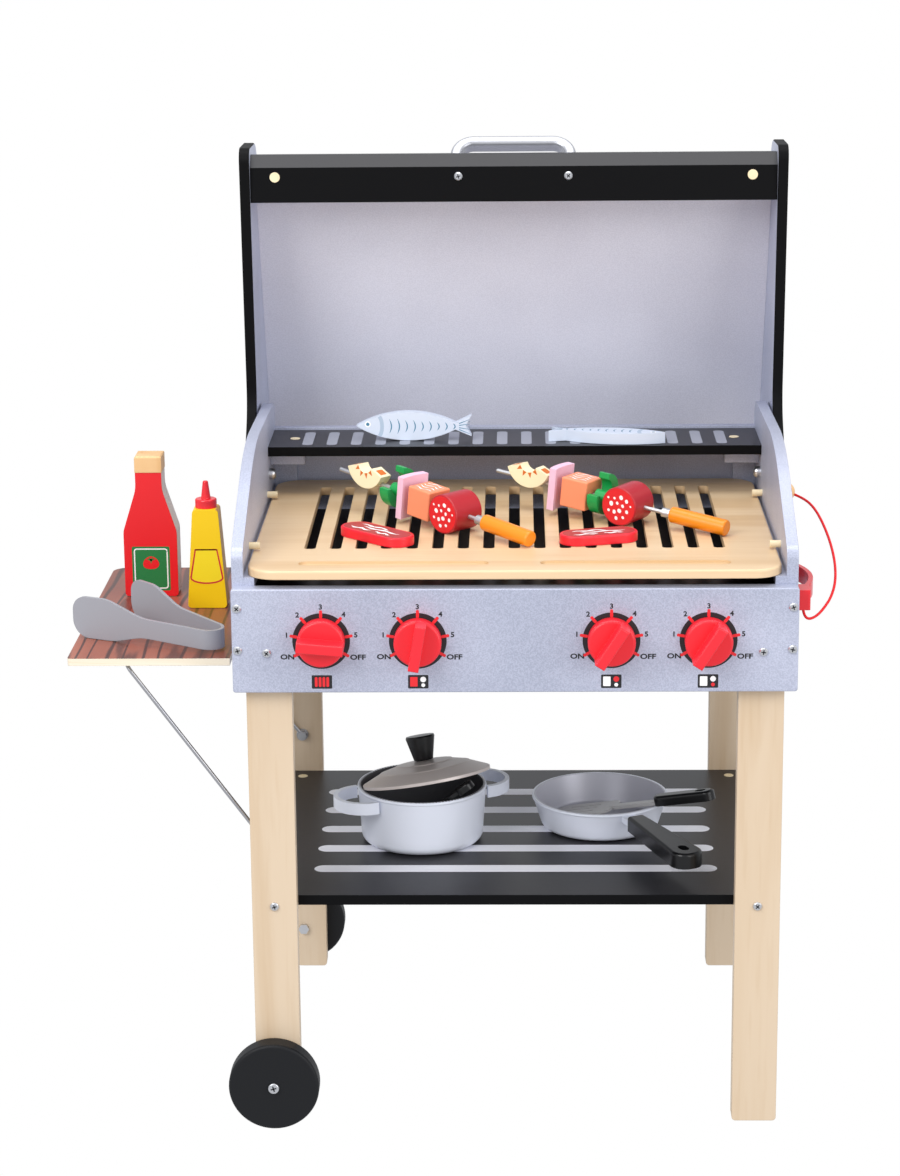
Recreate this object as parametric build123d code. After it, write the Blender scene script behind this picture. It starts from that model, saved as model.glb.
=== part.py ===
from build123d import *
import math
import os

# A wooden toy barbecue grill on two wheels, with its lid open, its side table up and its play food laid out.
# Millimetres. X runs to the right, Y to the back from the control panel's face, Z up from the floor.

# Control panel and firebox
panel_width = 410.0
panel_height = 77.6
panel_thickness = 12.0
panel_bottom = 342.8
box_depth = 324.0
side_thickness = 8.5
back_thickness = 8.0
back_top = 474.6
side_front_top = 445.0
side_top = 500.0
side_rear_top = 496.0
side_bend_y = 134.5
batten = 8.0
cleat_width = 18.2

# Legs, shelf and wheels
leg_width = 33.4
leg_thickness = 13.6
rear_leg_top = 440.0
shelf_top = 176.7
shelf_thickness = 7.7
wheel_radius = 34.1
wheel_width = 16.3
wheel_gap = 1.0
wheel_floor_gap = 0.3
axle_radius = 2.5
axle_x_inset = 14.2

# Plate, ember board and rack
plate_thickness = 6.4
plate_top = 433.0
plate_side_gap = 2.5
plate_front = 4.0
plate_rear_gap = 0.5
plate_corner = 22.0
slot_count = 17
slot_pitch = 19.0
slot_width = 8.5
slot_length = 207.0
slot_front = 71.0
groove_length = 138.6
groove_width = 13.0
groove_depth = 2.0
groove_x = 88.0
groove_y = 27.0
board_thickness = 4.0
board_top = 408.0
rack_top = 472.7
rack_thickness = 7.5
rack_depth = 68.0
rack_dowel_x = 177.0
rack_dowel_inset = 34.5
shelf_dowel_x = 179.0
shelf_dowel_inset = 15.0
dowel_radius = 4.0
peg_radius = 2.75
peg_reach = 8.0
peg_ys = (66.0, 235.0)

# Knobs
knob_xs = (-140.0, -70.0, 70.0, 140.0)
knob_turns = (95.0, 10.0, 33.0, 33.0)
knob_z = 381.8
knob_radius = 17.3
knob_disc = 10.0
knob_depth = 25.0
ridge_width = 7.8
knob_pin_radius = 3.0

# Fasteners
screw_head_radius = 3.3
screw_head_height = 1.8
screw_shank_radius = 1.5
washer_thickness = 0.8

# Lid
lid_thickness = 8.0
lid_gap = 2.0
pivot_y = 258.0
pivot_z = 449.0
pivot_radius = 2.5
lug_radius = 18.0
lid_top = 708.0
lid_front_y = 262.0
lid_neck_y = 279.0
lid_neck_z = 498.0
cover_thickness = 4.0
cover_bend_y = 319.6
cover_end_y = 410.4
cover_end_z = 441.0
cover_bend_radius = 14.0
rail_front_y = 268.0
rail_depth = 15.0
rail_bottom = 665.0
rail_top = 701.5
rail_chamfer = 9.0
handle_half_width = 51.0
handle_foot_x = 43.2
handle_height_on_rail = 20.0
handle_reach = 22.0
handle_rise = 21.0
handle_band = 9.0
handle_band_width = 12.0
lid_dowel_x = 187.5
stop_gap = 0.6
stop_depth = 11.5
stop_height = 13.0

# Side table and its wire bail
table_top = 359.5
table_thickness = 5.5
table_left = -330.5
table_front = 33.0
table_rear = 305.0
table_front_corner = 3.0
table_rear_corner = 12.0
hinge_ys = (90.0, 250.0)
hinge_half_length = 18.0
hinge_radius = 2.2
hinge_pin_radius = 1.0
leaf_thickness = 1.1
leaf_length = 20.0
wire_radius = 1.5
bail_pivot_x = -179.8
bail_pivot_z = 209.0
bail_bar_x = -289.0
bail_bar_ys = (44.0, 294.0)
bail_eye_radius = 4.5
bail_screw_radius = 1.75
bail_screw_depth = 9.0

# Tether, its bead and the red tool
bead_radius = 7.5
bead_y = 194.0
bead_z = 447.0
cord_radius = 1.0
tool_front = 14.0
tool_block = 18.0
tool_low = 400.0
tool_height = 15.0
tool_rear = 98.0
tool_peg_radius = 2.5
tool_peg_reach = 6.0

# The cord's route from the bead to the red tool, in this frame
cord_route = [
    (217.6, 194.0, 445.0), (224.5, 182.0, 444.5), (231.0, 164.0, 441.0), (236.0, 142.0, 433.0),
    (239.5, 119.0, 423.0), (240.5, 96.0, 413.5), (238.5, 74.0, 405.0), (233.5, 55.0, 399.0),
    (228.0, 42.0, 395.5), (221.5, 31.5, 391.5), (214.5, 25.5, 389.8),
    (210.4, 23.2, 393.9), (209.7, 23.0, 399.5),
]

# Food on the plate: where each skewer's grip ends, and how it lies
skewer_grips = {"skewer_a": (12.3, 72.1), "skewer_b": (159.6, 104.6)}
skewer_yaws = {"skewer_a": 136.6, "skewer_b": 147.5}
food_places = {
    "skewer_a": {"sausage": 79.0, "cube": 108.0, "ham": 126.0, "pepper": 141.0, "bread": 174.0},
    "skewer_b": {"sausage": 86.6, "pepper": 109.5, "cube": 129.0, "ham": 147.5, "bread": 175.0},
}
skewer_length = 207.0
spit_radius = 1.6
grip_radius = 6.2
grip_length = 48.0
ferrule_radius = 3.6
ferrule_length = 7.5
sausage_radius = 15.0
sausage_length = 28.0
cube_size = 23.0
ham_height = 33.0
ham_width = 27.0
ham_thickness = 6.0
pepper_radius = 16.0
pepper_thickness = 9.0
bread_size = 32.0
bread_thickness = 11.0
slice_thickness = 7.0
slice_width = 26.0

# Bottles and tongs on the side table
bottle_x = -288.5
bottle_front = 212.0
bottle_depth = 23.0
bottle_width = 42.4
bottle_neck = 20.8
bottle_shoulder = 53.0
bottle_body = 100.5
bottle_cap = 13.0
squeeze_x = -240.5
squeeze_front = 175.0
squeeze_depth = 20.0
squeeze_base = 31.0
squeeze_neck = 20.0
squeeze_body = 79.0
squeeze_flange = 7.0
squeeze_tip = 14.0
tongs_thickness = 2.5
tongs_height = 32.0
tongs_arm_height = 14.8
tongs_rise = 5.5
tongs_corner = (-184.6, 27.5)
tongs_length = 164.0
tongs_front_yaw = 155.6
tongs_rear_yaw = 132.8
tongs_bend_radius = 10.5

# Fish on the rack
fish_length = 93.0
fish_height = 23.0
fish_thickness = 9.0
upright_fish_x = -127.0
upright_fish_inset = 39.0
flat_fish_x = 120.5
flat_fish_inset = 60.0

# Pot, spoon, pan and spatula on the shelf
pot_x = -73.5
pot_y = 155.0
pot_radius = 50.5
pot_height = 45.0
pot_wall = 2.2
pot_handle_turn = 25.0
pot_handle_reach = 21.0
pot_handle_width = 44.0
lid_lean_yaw = -52.0
lid_tilt = 15.0
lid_shift = 6.5
lid_lift = 5.7
spoon_start = (-92.0, 124.3, 190.5)
spoon_end = (-35.0, 116.0, 234.2)
spoon_loop_length = 15.0
spoon_loop_width = 11.5
spoon_loop_thickness = 6.0
pan_x = 67.5
pan_y = 188.0
pan_radius = 54.0
pan_height = 25.0
pan_wall = 2.0
pan_handle_yaw = -66.2
pan_handle_length = 98.0
spatula_start = (31.0, 199.0, 181.6)
spatula_end = (153.5, 136.5, 216.5)

# Clearances
turn_gap = 0.3
pin_gap = 0.05
rest_gap = 0.3

side_outer = panel_width / 2
side_inner = side_outer - side_thickness
panel_top = panel_bottom + panel_height
leg_inner = side_inner - leg_width
back_front = box_depth - back_thickness
cleat_front = back_front - batten
plate_bottom = plate_top - plate_thickness
board_bottom = board_top - board_thickness
rack_bottom = rack_top - rack_thickness
rack_dowel_y = back_front - rack_dowel_inset
shelf_dowel_y = box_depth - shelf_dowel_inset
handle_z = rail_bottom + handle_height_on_rail
shelf_bottom = shelf_top - shelf_thickness
rear_leg_back = box_depth + leg_thickness
front_leg_back = panel_thickness + leg_thickness
axle_x = -(side_inner - axle_x_inset)
axle_z = wheel_radius + wheel_floor_gap
lid_inner = side_outer + lid_gap
lid_outer = lid_inner + lid_thickness
hinge_x = -(side_outer + leaf_thickness + turn_gap + hinge_radius - leaf_thickness)
hinge_z = table_top - table_thickness
peg_z = plate_top + peg_radius + 1.2
screw_zs = (panel_bottom + 32.0, panel_bottom + 63.5)


def block(x0, x1, y0, y1, z0, z1):
    """A box between two opposite corners."""
    centre = Pos((x0 + x1) / 2, (y0 + y1) / 2, (z0 + z1) / 2)
    return centre * Box(x1 - x0, y1 - y0, z1 - z0)


def rod_x(radius, x0, x1, y, z):
    return Pos((x0 + x1) / 2, y, z) * Rot(0, 90, 0) * Cylinder(radius, x1 - x0)


def rod_y(radius, y0, y1, x, z):
    return Pos(x, (y0 + y1) / 2, z) * Rot(90, 0, 0) * Cylinder(radius, y1 - y0)


def rod_z(radius, z0, z1, x, y):
    return Pos(x, y, (z0 + z1) / 2) * Cylinder(radius, z1 - z0)


def outline(corners):
    """A closed outline through (u, v, radius) corners, each rounded by its own radius."""
    face = make_face(Polyline(*[(u, v) for u, v, radius in corners], close=True))
    for u, v, radius in corners:
        if radius > 0:
            corner = face.vertices().sort_by_distance((u, v, 0))[0]
            face = fillet(corner, radius)
    return face


def across(face, x0, x1):
    """A (Y, Z) outline as a board from x0 to x1."""
    return Pos(x0, 0, 0) * extrude(Plane.YZ * face, amount=x1 - x0)


def facing(face, y0, y1):
    """An (X, Z) outline as a board from y0 to y1."""
    return Pos(0, y1, 0) * extrude(Plane.XZ * face, amount=y1 - y0)


def upright(face, z0, z1):
    """An (X, Y) outline as a board from z0 to z1."""
    return Pos(0, 0, z0) * extrude(face, amount=z1 - z0)


def screw_y(x, y, z, length, toward=1, head=screw_head_radius):
    """A round-headed screw whose head lies on the face at y and whose shank runs toward +Y or -Y."""
    top = rod_y(head, -screw_head_height, 0, 0, 0)
    top = chamfer(top.edges().group_by(Axis.Y)[0], 0.8)
    shank = rod_y(screw_shank_radius, 0, length, 0, 0)
    turned = Rot(0, 0, 0 if toward > 0 else 180)
    return Pos(x, y, z) * turned * (top + shank)


def screw_holes(places, length, toward=1):
    """The drilled holes that fit screws at the (x, y, z) places."""
    holes = []
    for x, y, z in places:
        y0, y1 = (y, y + length) if toward > 0 else (y - length, y)
        holes.append(rod_y(screw_shank_radius + pin_gap, y0 - 0.01, y1 + pin_gap, x, z))
    return holes


# Where the screws go
panel_screws = [(s * (side_outer - side_thickness / 2), 0.0, z) for s in (-1, 1) for z in screw_zs]
panel_screws += [(s * (leg_inner + leg_width / 2), 0.0, screw_zs[0] - 2.0) for s in (-1, 1)]
panel_screw_length = panel_thickness + 8.0
shelf_z = shelf_top - shelf_thickness / 2
shelf_screws = [(s * (leg_inner + leg_width / 2), panel_thickness, shelf_z) for s in (-1, 1)]
shelf_screw_length = leg_thickness + 12.0
rear_zs = (shelf_z, panel_bottom + 20.0, panel_bottom + 80.0)
rear_screws = [(s * (leg_inner + leg_width / 2), rear_leg_back, z) for s in (-1, 1) for z in rear_zs]
rear_screw_length = leg_thickness + 6.0
bail_angle = math.degrees(math.atan2(table_top - table_thickness - 0.2 - wire_radius - bail_pivot_z,
                                     bail_pivot_x - bail_bar_x))


def front_holes():
    return screw_holes(panel_screws, panel_screw_length) + screw_holes(shelf_screws, shelf_screw_length)


def rear_holes():
    return screw_holes(rear_screws, rear_screw_length, toward=-1)


def leg(side, y0, top):
    """One leg. The left legs are rounded at the outer corner, so that the toy tips onto its wheels."""
    outer_radius = 12.0 if side < 0 else 3.0
    corners = [(side * leg_inner, 0, 3.0), (side * side_inner, 0, outer_radius),
               (side * side_inner, top, 0), (side * leg_inner, top, 0)]
    board = facing(outline(corners), y0, y0 + leg_thickness)
    for hole in front_holes() + rear_holes():
        board -= hole
    if side < 0:
        board -= rod_y(axle_radius + pin_gap, y0 - 1, y0 + leg_thickness + 1, axle_x, axle_z)
        board -= bail_screw_hole(y0)
    return board


def bail_screw_hole(leg_y0):
    """The hole for the bail's screw, from the leg's inner face."""
    inner, inward = (front_leg_back, -1) if leg_y0 < box_depth / 2 else (box_depth, 1)
    y0, y1 = sorted((inner - inward, inner + inward * bail_screw_depth))
    return rod_y(bail_screw_radius + pin_gap, y0, y1, bail_pivot_x, bail_pivot_z)


def bottom_shelf():
    board = block(-side_inner, side_inner, front_leg_back, box_depth, shelf_bottom, shelf_top)
    for hole in front_holes() + rear_holes():
        board -= hole
    for side in (-1, 1):
        board -= rod_z(dowel_radius, shelf_bottom - 1, shelf_top + 1, side * shelf_dowel_x, shelf_dowel_y)
    return board


def control_panel():
    corners = [(-side_outer, panel_bottom, 2), (side_outer, panel_bottom, 2),
               (side_outer, panel_top, 2), (-side_outer, panel_top, 2)]
    board = facing(outline(corners), 0, panel_thickness)
    board = fillet(board.faces().sort_by(Axis.Y)[0].edges(), 1.0)
    for hole in front_holes():
        board -= hole
    for x in knob_xs:
        board -= rod_y(knob_pin_radius, -1, panel_thickness + 1, x, knob_z)
    return board


def side_panel(side):
    corners = [(panel_thickness, panel_bottom, 0), (panel_thickness, side_front_top, 10),
               (side_bend_y, side_top, 210), (box_depth, side_rear_top, 16), (box_depth, panel_bottom, 0)]
    x0, x1 = sorted((side * side_inner, side * side_outer))
    board = across(outline(corners), x0, x1)
    for hole in front_holes():
        board -= hole
    board -= rod_x(pivot_radius + pin_gap, x0 - 1, x1 + 1, pivot_y, pivot_z)
    for y in peg_ys:
        board -= rod_x(peg_radius, x0 - 1, x1 + 1, y, peg_z)
    if side > 0:
        board -= rod_x(tool_peg_radius, side_inner + 2, side_outer + 1, tool_front + tool_block / 2,
                       tool_low + tool_height / 2)
    return board


def back_panel():
    board = block(-side_inner, side_inner, back_front, box_depth, panel_bottom, back_top)
    for hole in rear_holes():
        board -= hole
    return board


def frame_battens():
    """Corner cleats, rails under the plate and the ember board, and blocks under the rack and the shelf."""
    pieces = []
    for side in (-1, 1):
        def at(inner, y0, y1, z0, z1):
            x0, x1 = sorted((side * inner, side * side_inner))
            return block(x0, x1, y0, y1, z0, z1)
        rail_inner = side_inner - batten
        rail_front = panel_thickness
        rail_top_z = plate_bottom - rest_gap
        pieces.append(at(side_inner - cleat_width, cleat_front, back_front, panel_bottom, rack_bottom))
        pieces.append(at(rail_inner, rail_front, cleat_front, rail_top_z - batten, rail_top_z))
        pieces.append(at(rail_inner, front_leg_back, cleat_front, board_bottom - batten, board_bottom))
        rack_block = at(rack_dowel_x - 8, rack_dowel_y - 9, rack_dowel_y + 9, rack_bottom - 12, rack_bottom)
        rack_block -= rod_z(dowel_radius, rack_bottom - 8, rack_top, side * rack_dowel_x, rack_dowel_y)
        pieces.append(rack_block)
        shelf_block = at(leg_inner, box_depth - 22, box_depth, shelf_bottom - 16, shelf_bottom)
        shelf_block -= rod_z(dowel_radius, shelf_bottom - 10, shelf_top, side * shelf_dowel_x, shelf_dowel_y)
        pieces.append(shelf_block)
    return pieces


def ember_board():
    return block(-side_inner, side_inner, panel_thickness, cleat_front, board_bottom, board_top)


def warming_rack():
    board = block(-side_inner, side_inner, back_front - rack_depth, back_front, rack_bottom, rack_top)
    for side in (-1, 1):
        board -= rod_z(dowel_radius, rack_bottom - 1, rack_top + 1, side * rack_dowel_x, rack_dowel_y)
    return board


def dowel_pegs():
    """Dowels in the rack and the shelf, the pegs over the plate and the peg that holds the red tool."""
    pieces = []
    for side in (-1, 1):
        pieces.append(rod_z(dowel_radius, rack_bottom - 8, rack_top + 0.3, side * rack_dowel_x, rack_dowel_y))
        pieces.append(rod_z(dowel_radius, shelf_bottom - 10, shelf_top + 0.3,
                            side * shelf_dowel_x, shelf_dowel_y))
        for y in peg_ys:
            x0, x1 = sorted((side * (side_inner - peg_reach), side * side_outer))
            pieces.append(rod_x(peg_radius, x0, x1, y, peg_z))
    pieces.append(rod_x(tool_peg_radius, side_inner + 2, side_outer + tool_peg_reach,
                        tool_front + tool_block / 2, tool_low + tool_height / 2))
    return pieces


def knob_pins():
    """Each knob turns on a wooden pin that is pressed into the panel and has a head behind it."""
    pins = []
    for x in knob_xs:
        pin = rod_y(knob_pin_radius, -8, panel_thickness, x, knob_z)
        head = rod_y(2 * knob_pin_radius, panel_thickness, panel_thickness + 3, x, knob_z)
        pins.append(pin + head)
    return pins


def knob(x, turn):
    """A disc with a grip ridge across it, bored for its pin."""
    disc = rod_y(knob_radius, -rest_gap - knob_disc, -rest_gap, 0, 0)
    disc = fillet(disc.edges().group_by(Axis.Y)[0], 2.0)
    ridge = block(-ridge_width / 2, ridge_width / 2, -knob_depth, -knob_disc / 2,
                  -knob_radius + 0.4, knob_radius - 0.4)
    ridge = fillet(ridge.edges().group_by(Axis.Y)[0], 1.2)
    shape = disc + ridge
    shape -= rod_y(knob_pin_radius + pin_gap, -8 - 1, 0, 0, 0)
    return Pos(x, 0, knob_z) * Rot(0, turn, 0) * shape


def frame_screws():
    pieces = [screw_y(x, y, z, panel_screw_length) for x, y, z in panel_screws]
    pieces += [screw_y(x, y, z, shelf_screw_length) for x, y, z in shelf_screws]
    pieces += [screw_y(x, y, z, rear_screw_length, toward=-1) for x, y, z in rear_screws]
    return pieces


def pivot_bolts():
    """Wheel axles, the lid's two pivots and the screws that the bail swings on, with nuts and washers."""
    pieces = []
    for leg_y0, wheel_side in ((panel_thickness, -1), (box_depth, 1)):
        leg_y1 = leg_y0 + leg_thickness
        face = leg_y0 if wheel_side < 0 else leg_y1
        end = face + wheel_side * (wheel_gap + wheel_width + turn_gap)
        head_end = end + wheel_side * 2.4
        nut_face = leg_y1 if wheel_side < 0 else leg_y0
        nut_end = nut_face - wheel_side * 3.5
        y0, y1 = sorted((end, nut_end))
        bolt = rod_y(axle_radius, y0, y1, axle_x, axle_z)
        h0, h1 = sorted((end, head_end))
        head = rod_y(4.2, h0, h1, axle_x, axle_z)
        head = fillet(head.edges().group_by(Axis.Y)[0 if wheel_side < 0 else -1], 1.0)
        n0, n1 = sorted((nut_face, nut_end))
        nut = facing(Pos(axle_x, axle_z) * RegularPolygon(4.6, 6), n0, n1)
        w0, w1 = sorted((face, face + wheel_side * washer_thickness))
        washer = rod_y(5.5, w0, w1, axle_x, axle_z)
        pieces.append(bolt + head + nut + washer)
    for side in (-1, 1):
        outer = side * (lid_outer + turn_gap)
        x0, x1 = sorted((outer, side * (side_inner - 2.0)))
        bolt = rod_x(pivot_radius, x0, x1, pivot_y, pivot_z)
        h0, h1 = sorted((outer, outer + side * 2.2))
        head = rod_x(4.5, h0, h1, pivot_y, pivot_z)
        c0, c1 = sorted((side * side_inner, side * (side_inner - 5.5)))
        cap = rod_x(4.6, c0, c1, pivot_y, pivot_z)
        cap = fillet(cap.edges().group_by(Axis.X)[0 if side > 0 else -1], 3.0)
        s0, s1 = sorted((side * side_outer, side * (lid_inner - turn_gap)))
        spacer = rod_x(6.0, s0, s1, pivot_y, pivot_z)
        pieces.append(bolt + head + cap + spacer)
    for face, toward in ((front_leg_back, 1), (box_depth, -1)):
        end = face + toward * (washer_thickness + 2 * wire_radius + 2 * turn_gap)
        s0, s1 = sorted((face - toward * bail_screw_depth, end))
        shank = rod_y(bail_screw_radius, s0, s1, bail_pivot_x, bail_pivot_z)
        h0, h1 = sorted((end, end + toward * 2.2))
        head = rod_y(3.6, h0, h1, bail_pivot_x, bail_pivot_z)
        w0, w1 = sorted((face, face + toward * washer_thickness))
        washer = rod_y(5.0, w0, w1, bail_pivot_x, bail_pivot_z)
        pieces.append(shank + head + washer)
    return pieces


def grill_plate():
    half = side_inner - plate_side_gap
    rear = cleat_front - plate_rear_gap
    corners = [(-half, plate_front, plate_corner), (half, plate_front, plate_corner),
               (half, rear, plate_corner), (-half, rear, plate_corner)]
    board = upright(outline(corners), plate_bottom, plate_top)
    board = fillet(board.faces().sort_by(Axis.Z)[-1].edges(), 1.8)
    slot = extrude(RectangleRounded(slot_width, slot_length, 3.0), amount=plate_thickness + 2)
    for index in range(slot_count):
        x = (index - (slot_count - 1) / 2) * slot_pitch
        board -= Pos(x, slot_front + slot_length / 2, plate_bottom - 1) * slot
    groove = extrude(SlotOverall(groove_length, groove_width), amount=groove_depth + 1)
    for side in (-1, 1):
        board -= Pos(side * groove_x, groove_y, plate_top - groove_depth) * groove
    return board


def wheel(y0):
    disc = rod_y(wheel_radius, y0, y0 + wheel_width, axle_x, axle_z)
    disc = fillet(disc.edges().filter_by(GeomType.CIRCLE), 2.5)
    return disc - rod_y(axle_radius + pin_gap, y0 - 1, y0 + wheel_width + 1, axle_x, axle_z)


def lid_cheek(side):
    """A cheek board: it narrows to a lug round the pivot and stands a little proud of the cover."""
    back = cover_thickness + 4.0
    corners = [(lid_front_y, lid_top, 10), (lid_neck_y, lid_neck_z, 40),
               (pivot_y - 14.5, pivot_z + 11, 0), (pivot_y, pivot_z - lug_radius, 0),
               (cover_end_y + back, cover_end_z - 15, 8), (cover_bend_y + back + 4, lid_top - 1, 26)]
    x0, x1 = sorted((side * lid_inner, side * lid_outer))
    board = across(outline(corners), x0, x1)
    board += rod_x(lug_radius, x0, x1, pivot_y, pivot_z)
    board = chamfer(board.faces().sort_by(Axis.X)[0 if side > 0 else -1].edges(), 0.8)
    return board - rod_x(pivot_radius + pin_gap, x0 - 1, x1 + 1, pivot_y, pivot_z)


def lid_cover():
    """The bent sheet between the cheeks: back from the front rail, round a bend and down."""
    start = rail_front_y + rail_depth
    inner_z = rail_bottom + 4.0
    path = FilletPolyline((start, inner_z), (cover_bend_y, inner_z), (cover_end_y, cover_end_z),
                          radius=cover_bend_radius)
    outer = offset(path, amount=cover_thickness, side=Side.LEFT)
    face = make_face(outer)
    return across(face, -lid_inner, lid_inner)


def lid_rails():
    """The front rail with its bevelled top, and the stop rail that meets the rear legs as the lid opens."""
    front = rail_front_y
    corners = [(front, rail_bottom, 0), (front + rail_depth, rail_bottom, 0),
               (front + rail_depth, rail_top, 0), (front, rail_top, 0)]
    rail = across(outline(corners), -lid_inner, lid_inner)
    top_front = rail.edges().filter_by(Axis.X).sort_by_distance((0, front, rail_top))[0]
    rail = chamfer(top_front, rail_chamfer)
    for side in (-1, 1):
        rail -= rod_y(dowel_radius, front - 1, front + rail_depth - 3, side * lid_dowel_x, handle_z)
        rail -= rod_y(screw_shank_radius + pin_gap, front - 1, front + rail_depth + 1,
                      side * handle_foot_x, handle_z)
    stop_y = rear_leg_back + stop_gap
    stop_low = rear_leg_top - stop_height + 1.0
    stop = block(-lid_inner, lid_inner, stop_y, stop_y + stop_depth, stop_low, stop_low + stop_height)
    return [rail, stop]


def lid_handle():
    """A flat bow on two feet behind the front rail. It leans back and up, past the rail's top."""
    y0 = rail_front_y + rail_depth
    lean = math.degrees(math.atan2(handle_rise, handle_reach))
    reach = math.hypot(handle_reach, handle_rise)
    path = FilletPolyline((-handle_foot_x, 0, 0), (-handle_half_width + 4, 0, reach),
                          (handle_half_width - 4, 0, reach), (handle_foot_x, 0, 0), radius=14)
    start = path @ 0
    band = RectangleRounded(handle_band_width, handle_band, 3.0)
    section = Plane(origin=start, z_dir=path % 0, x_dir=(0, 1, 0)) * band
    bow = sweep(section, path=path)
    bow = Pos(0, y0, handle_z) * Rot(-(90 - lean), 0, 0) * bow
    feet = []
    for side in (-1, 1):
        feet.append(rod_y(6.0, y0, y0 + 5, side * handle_foot_x, handle_z))
    bow = bow + feet[0] + feet[1]
    bow -= block(-100, 100, y0 - 30, y0, handle_z - 40, handle_z + 60)
    for side in (-1, 1):
        bow -= rod_y(screw_shank_radius + pin_gap, y0 - 1, y0 + 5, side * handle_foot_x, handle_z)
    return bow


def lid_fixings():
    """The handle's two screws and the rail's two wooden dowels."""
    pieces = []
    for side in (-1, 1):
        pieces.append(screw_y(side * handle_foot_x, rail_front_y, handle_z, rail_depth + 4))
        pieces.append(rod_y(dowel_radius, rail_front_y - 0.3, rail_front_y + rail_depth - 3,
                            side * lid_dowel_x, handle_z))
    return pieces


def side_table():
    corners = [(table_left, table_front, table_front_corner), (table_left, table_rear, table_rear_corner),
               (hinge_x - hinge_radius - turn_gap, table_rear, 0),
               (hinge_x - hinge_radius - turn_gap, table_front, 0)]
    return upright(outline(corners), table_top - table_thickness, table_top)


def knuckle(y0, y1, bore):
    barrel = rod_y(hinge_radius, y0, y1, hinge_x, hinge_z)
    return barrel - rod_y(bore, y0 - 1, y1 + 1, hinge_x, hinge_z) if bore else barrel


def table_hinge_leaves():
    """The hinges' fixed halves on the side panel: a leaf, two knuckles and the pin."""
    pieces = []
    third = hinge_half_length / 3
    for y in hinge_ys:
        leaf = block(-side_outer - leaf_thickness, -side_outer, y - hinge_half_length, y + hinge_half_length,
                     hinge_z - leaf_length, hinge_z)
        ends = [(y - hinge_half_length, y - third - turn_gap), (y + third + turn_gap, y + hinge_half_length)]
        middle = rod_y(hinge_radius + turn_gap, y - third - turn_gap, y + third + turn_gap, hinge_x, hinge_z)
        leaf -= middle
        for y0, y1 in ends:
            web = block(hinge_x, -side_outer, y0, y1, hinge_z - 1.0, hinge_z)
            leaf += knuckle(y0, y1, 0) + web
        leaf += rod_y(hinge_pin_radius, y - third - 1, y + third + 1, hinge_x, hinge_z)
        pieces.append(leaf)
    return pieces


def table_fittings():
    """The hinges' moving halves under the table, and the clips beside the bail's bar."""
    pieces = []
    third = hinge_half_length / 3
    for y in hinge_ys:
        barrel = knuckle(y - third, y + third, hinge_pin_radius + pin_gap)
        arm = block(hinge_x - leaf_length, hinge_x - hinge_pin_radius - 0.6, y - third, y + third,
                    hinge_z - leaf_thickness, hinge_z)
        leaf = block(hinge_x - leaf_length, hinge_x - hinge_radius - turn_gap - 0.4, y - hinge_half_length,
                     y + hinge_half_length, hinge_z - leaf_thickness, hinge_z)
        pieces.append(barrel + arm + leaf)
    for y in (bail_bar_ys[0] + 60, bail_bar_ys[1] - 60):
        x0 = bail_bar_x + wire_radius + turn_gap
        clip = block(x0, x0 + 8, y - 6, y + 6, hinge_z - 7, hinge_z)
        pieces.append(clip)
    return pieces


def support_bail():
    """A bent wire: an eye on each leg's screw, two arms and a bar under the table."""
    front_y = front_leg_back + washer_thickness + turn_gap + wire_radius
    rear_y = box_depth - washer_thickness - turn_gap - wire_radius
    bar_z = table_top - table_thickness - 0.2 - wire_radius
    away = math.radians(bail_angle)
    lead = bail_eye_radius - 1.0
    step = (-lead * math.cos(away), lead * math.sin(away))
    start = (bail_pivot_x + step[0], front_y, bail_pivot_z + step[1])
    end = (bail_pivot_x + step[0], rear_y, bail_pivot_z + step[1])
    bar = [(bail_bar_x, y, bar_z) for y in bail_bar_ys]
    path = FilletPolyline(start, *bar, end, radius=8)
    wire = sweep(Plane(origin=path @ 0, z_dir=path % 0) * Circle(wire_radius), path=path)
    for y in (front_y, rear_y):
        wire += rod_y(bail_eye_radius, y - wire_radius, y + wire_radius, bail_pivot_x, bail_pivot_z)
    for y in (front_y, rear_y):
        wire -= rod_y(bail_screw_radius + pin_gap, y - 3 * wire_radius, y + 3 * wire_radius,
                      bail_pivot_x, bail_pivot_z)
    return wire


def tether_bead():
    bead = Pos(side_outer + bead_radius * 0.8, bead_y, bead_z) * Sphere(bead_radius)
    bead &= block(side_outer, side_outer + 3 * bead_radius,
                  bead_y - 2 * bead_radius, bead_y + 2 * bead_radius,
                  bead_z - 2 * bead_radius, bead_z + 2 * bead_radius)
    return bead - between(cord_route[0], cord_route[1], rod_x(cord_radius + pin_gap, 0, 12, 0, 0))


def cord_radii(route):
    """Each corner's arc: 0.45 of the shorter run over the tangent of half the turn."""
    radii = []
    for before, here, after in zip(route, route[1:], route[2:]):
        first = Vector(*here) - Vector(*before)
        second = Vector(*after) - Vector(*here)
        turn = math.radians(first.get_angle(second))
        radii.append(0.45 * min(first.length, second.length) / math.tan(turn / 2))
    return radii


def tether_cord():
    radii = cord_radii(cord_route)
    path = FilletPolyline(*cord_route, radius=radii)
    tube = sweep(Plane(origin=path @ 0, z_dir=path % 0) * Circle(cord_radius), path=path)
    share = tube.volume / (math.pi * cord_radius ** 2 * path.length)
    print("cord radii", [round(radius, 1) for radius in radii])
    print("cord length", round(path.length, 1), "volume share", round(share, 4))
    return tube


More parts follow.
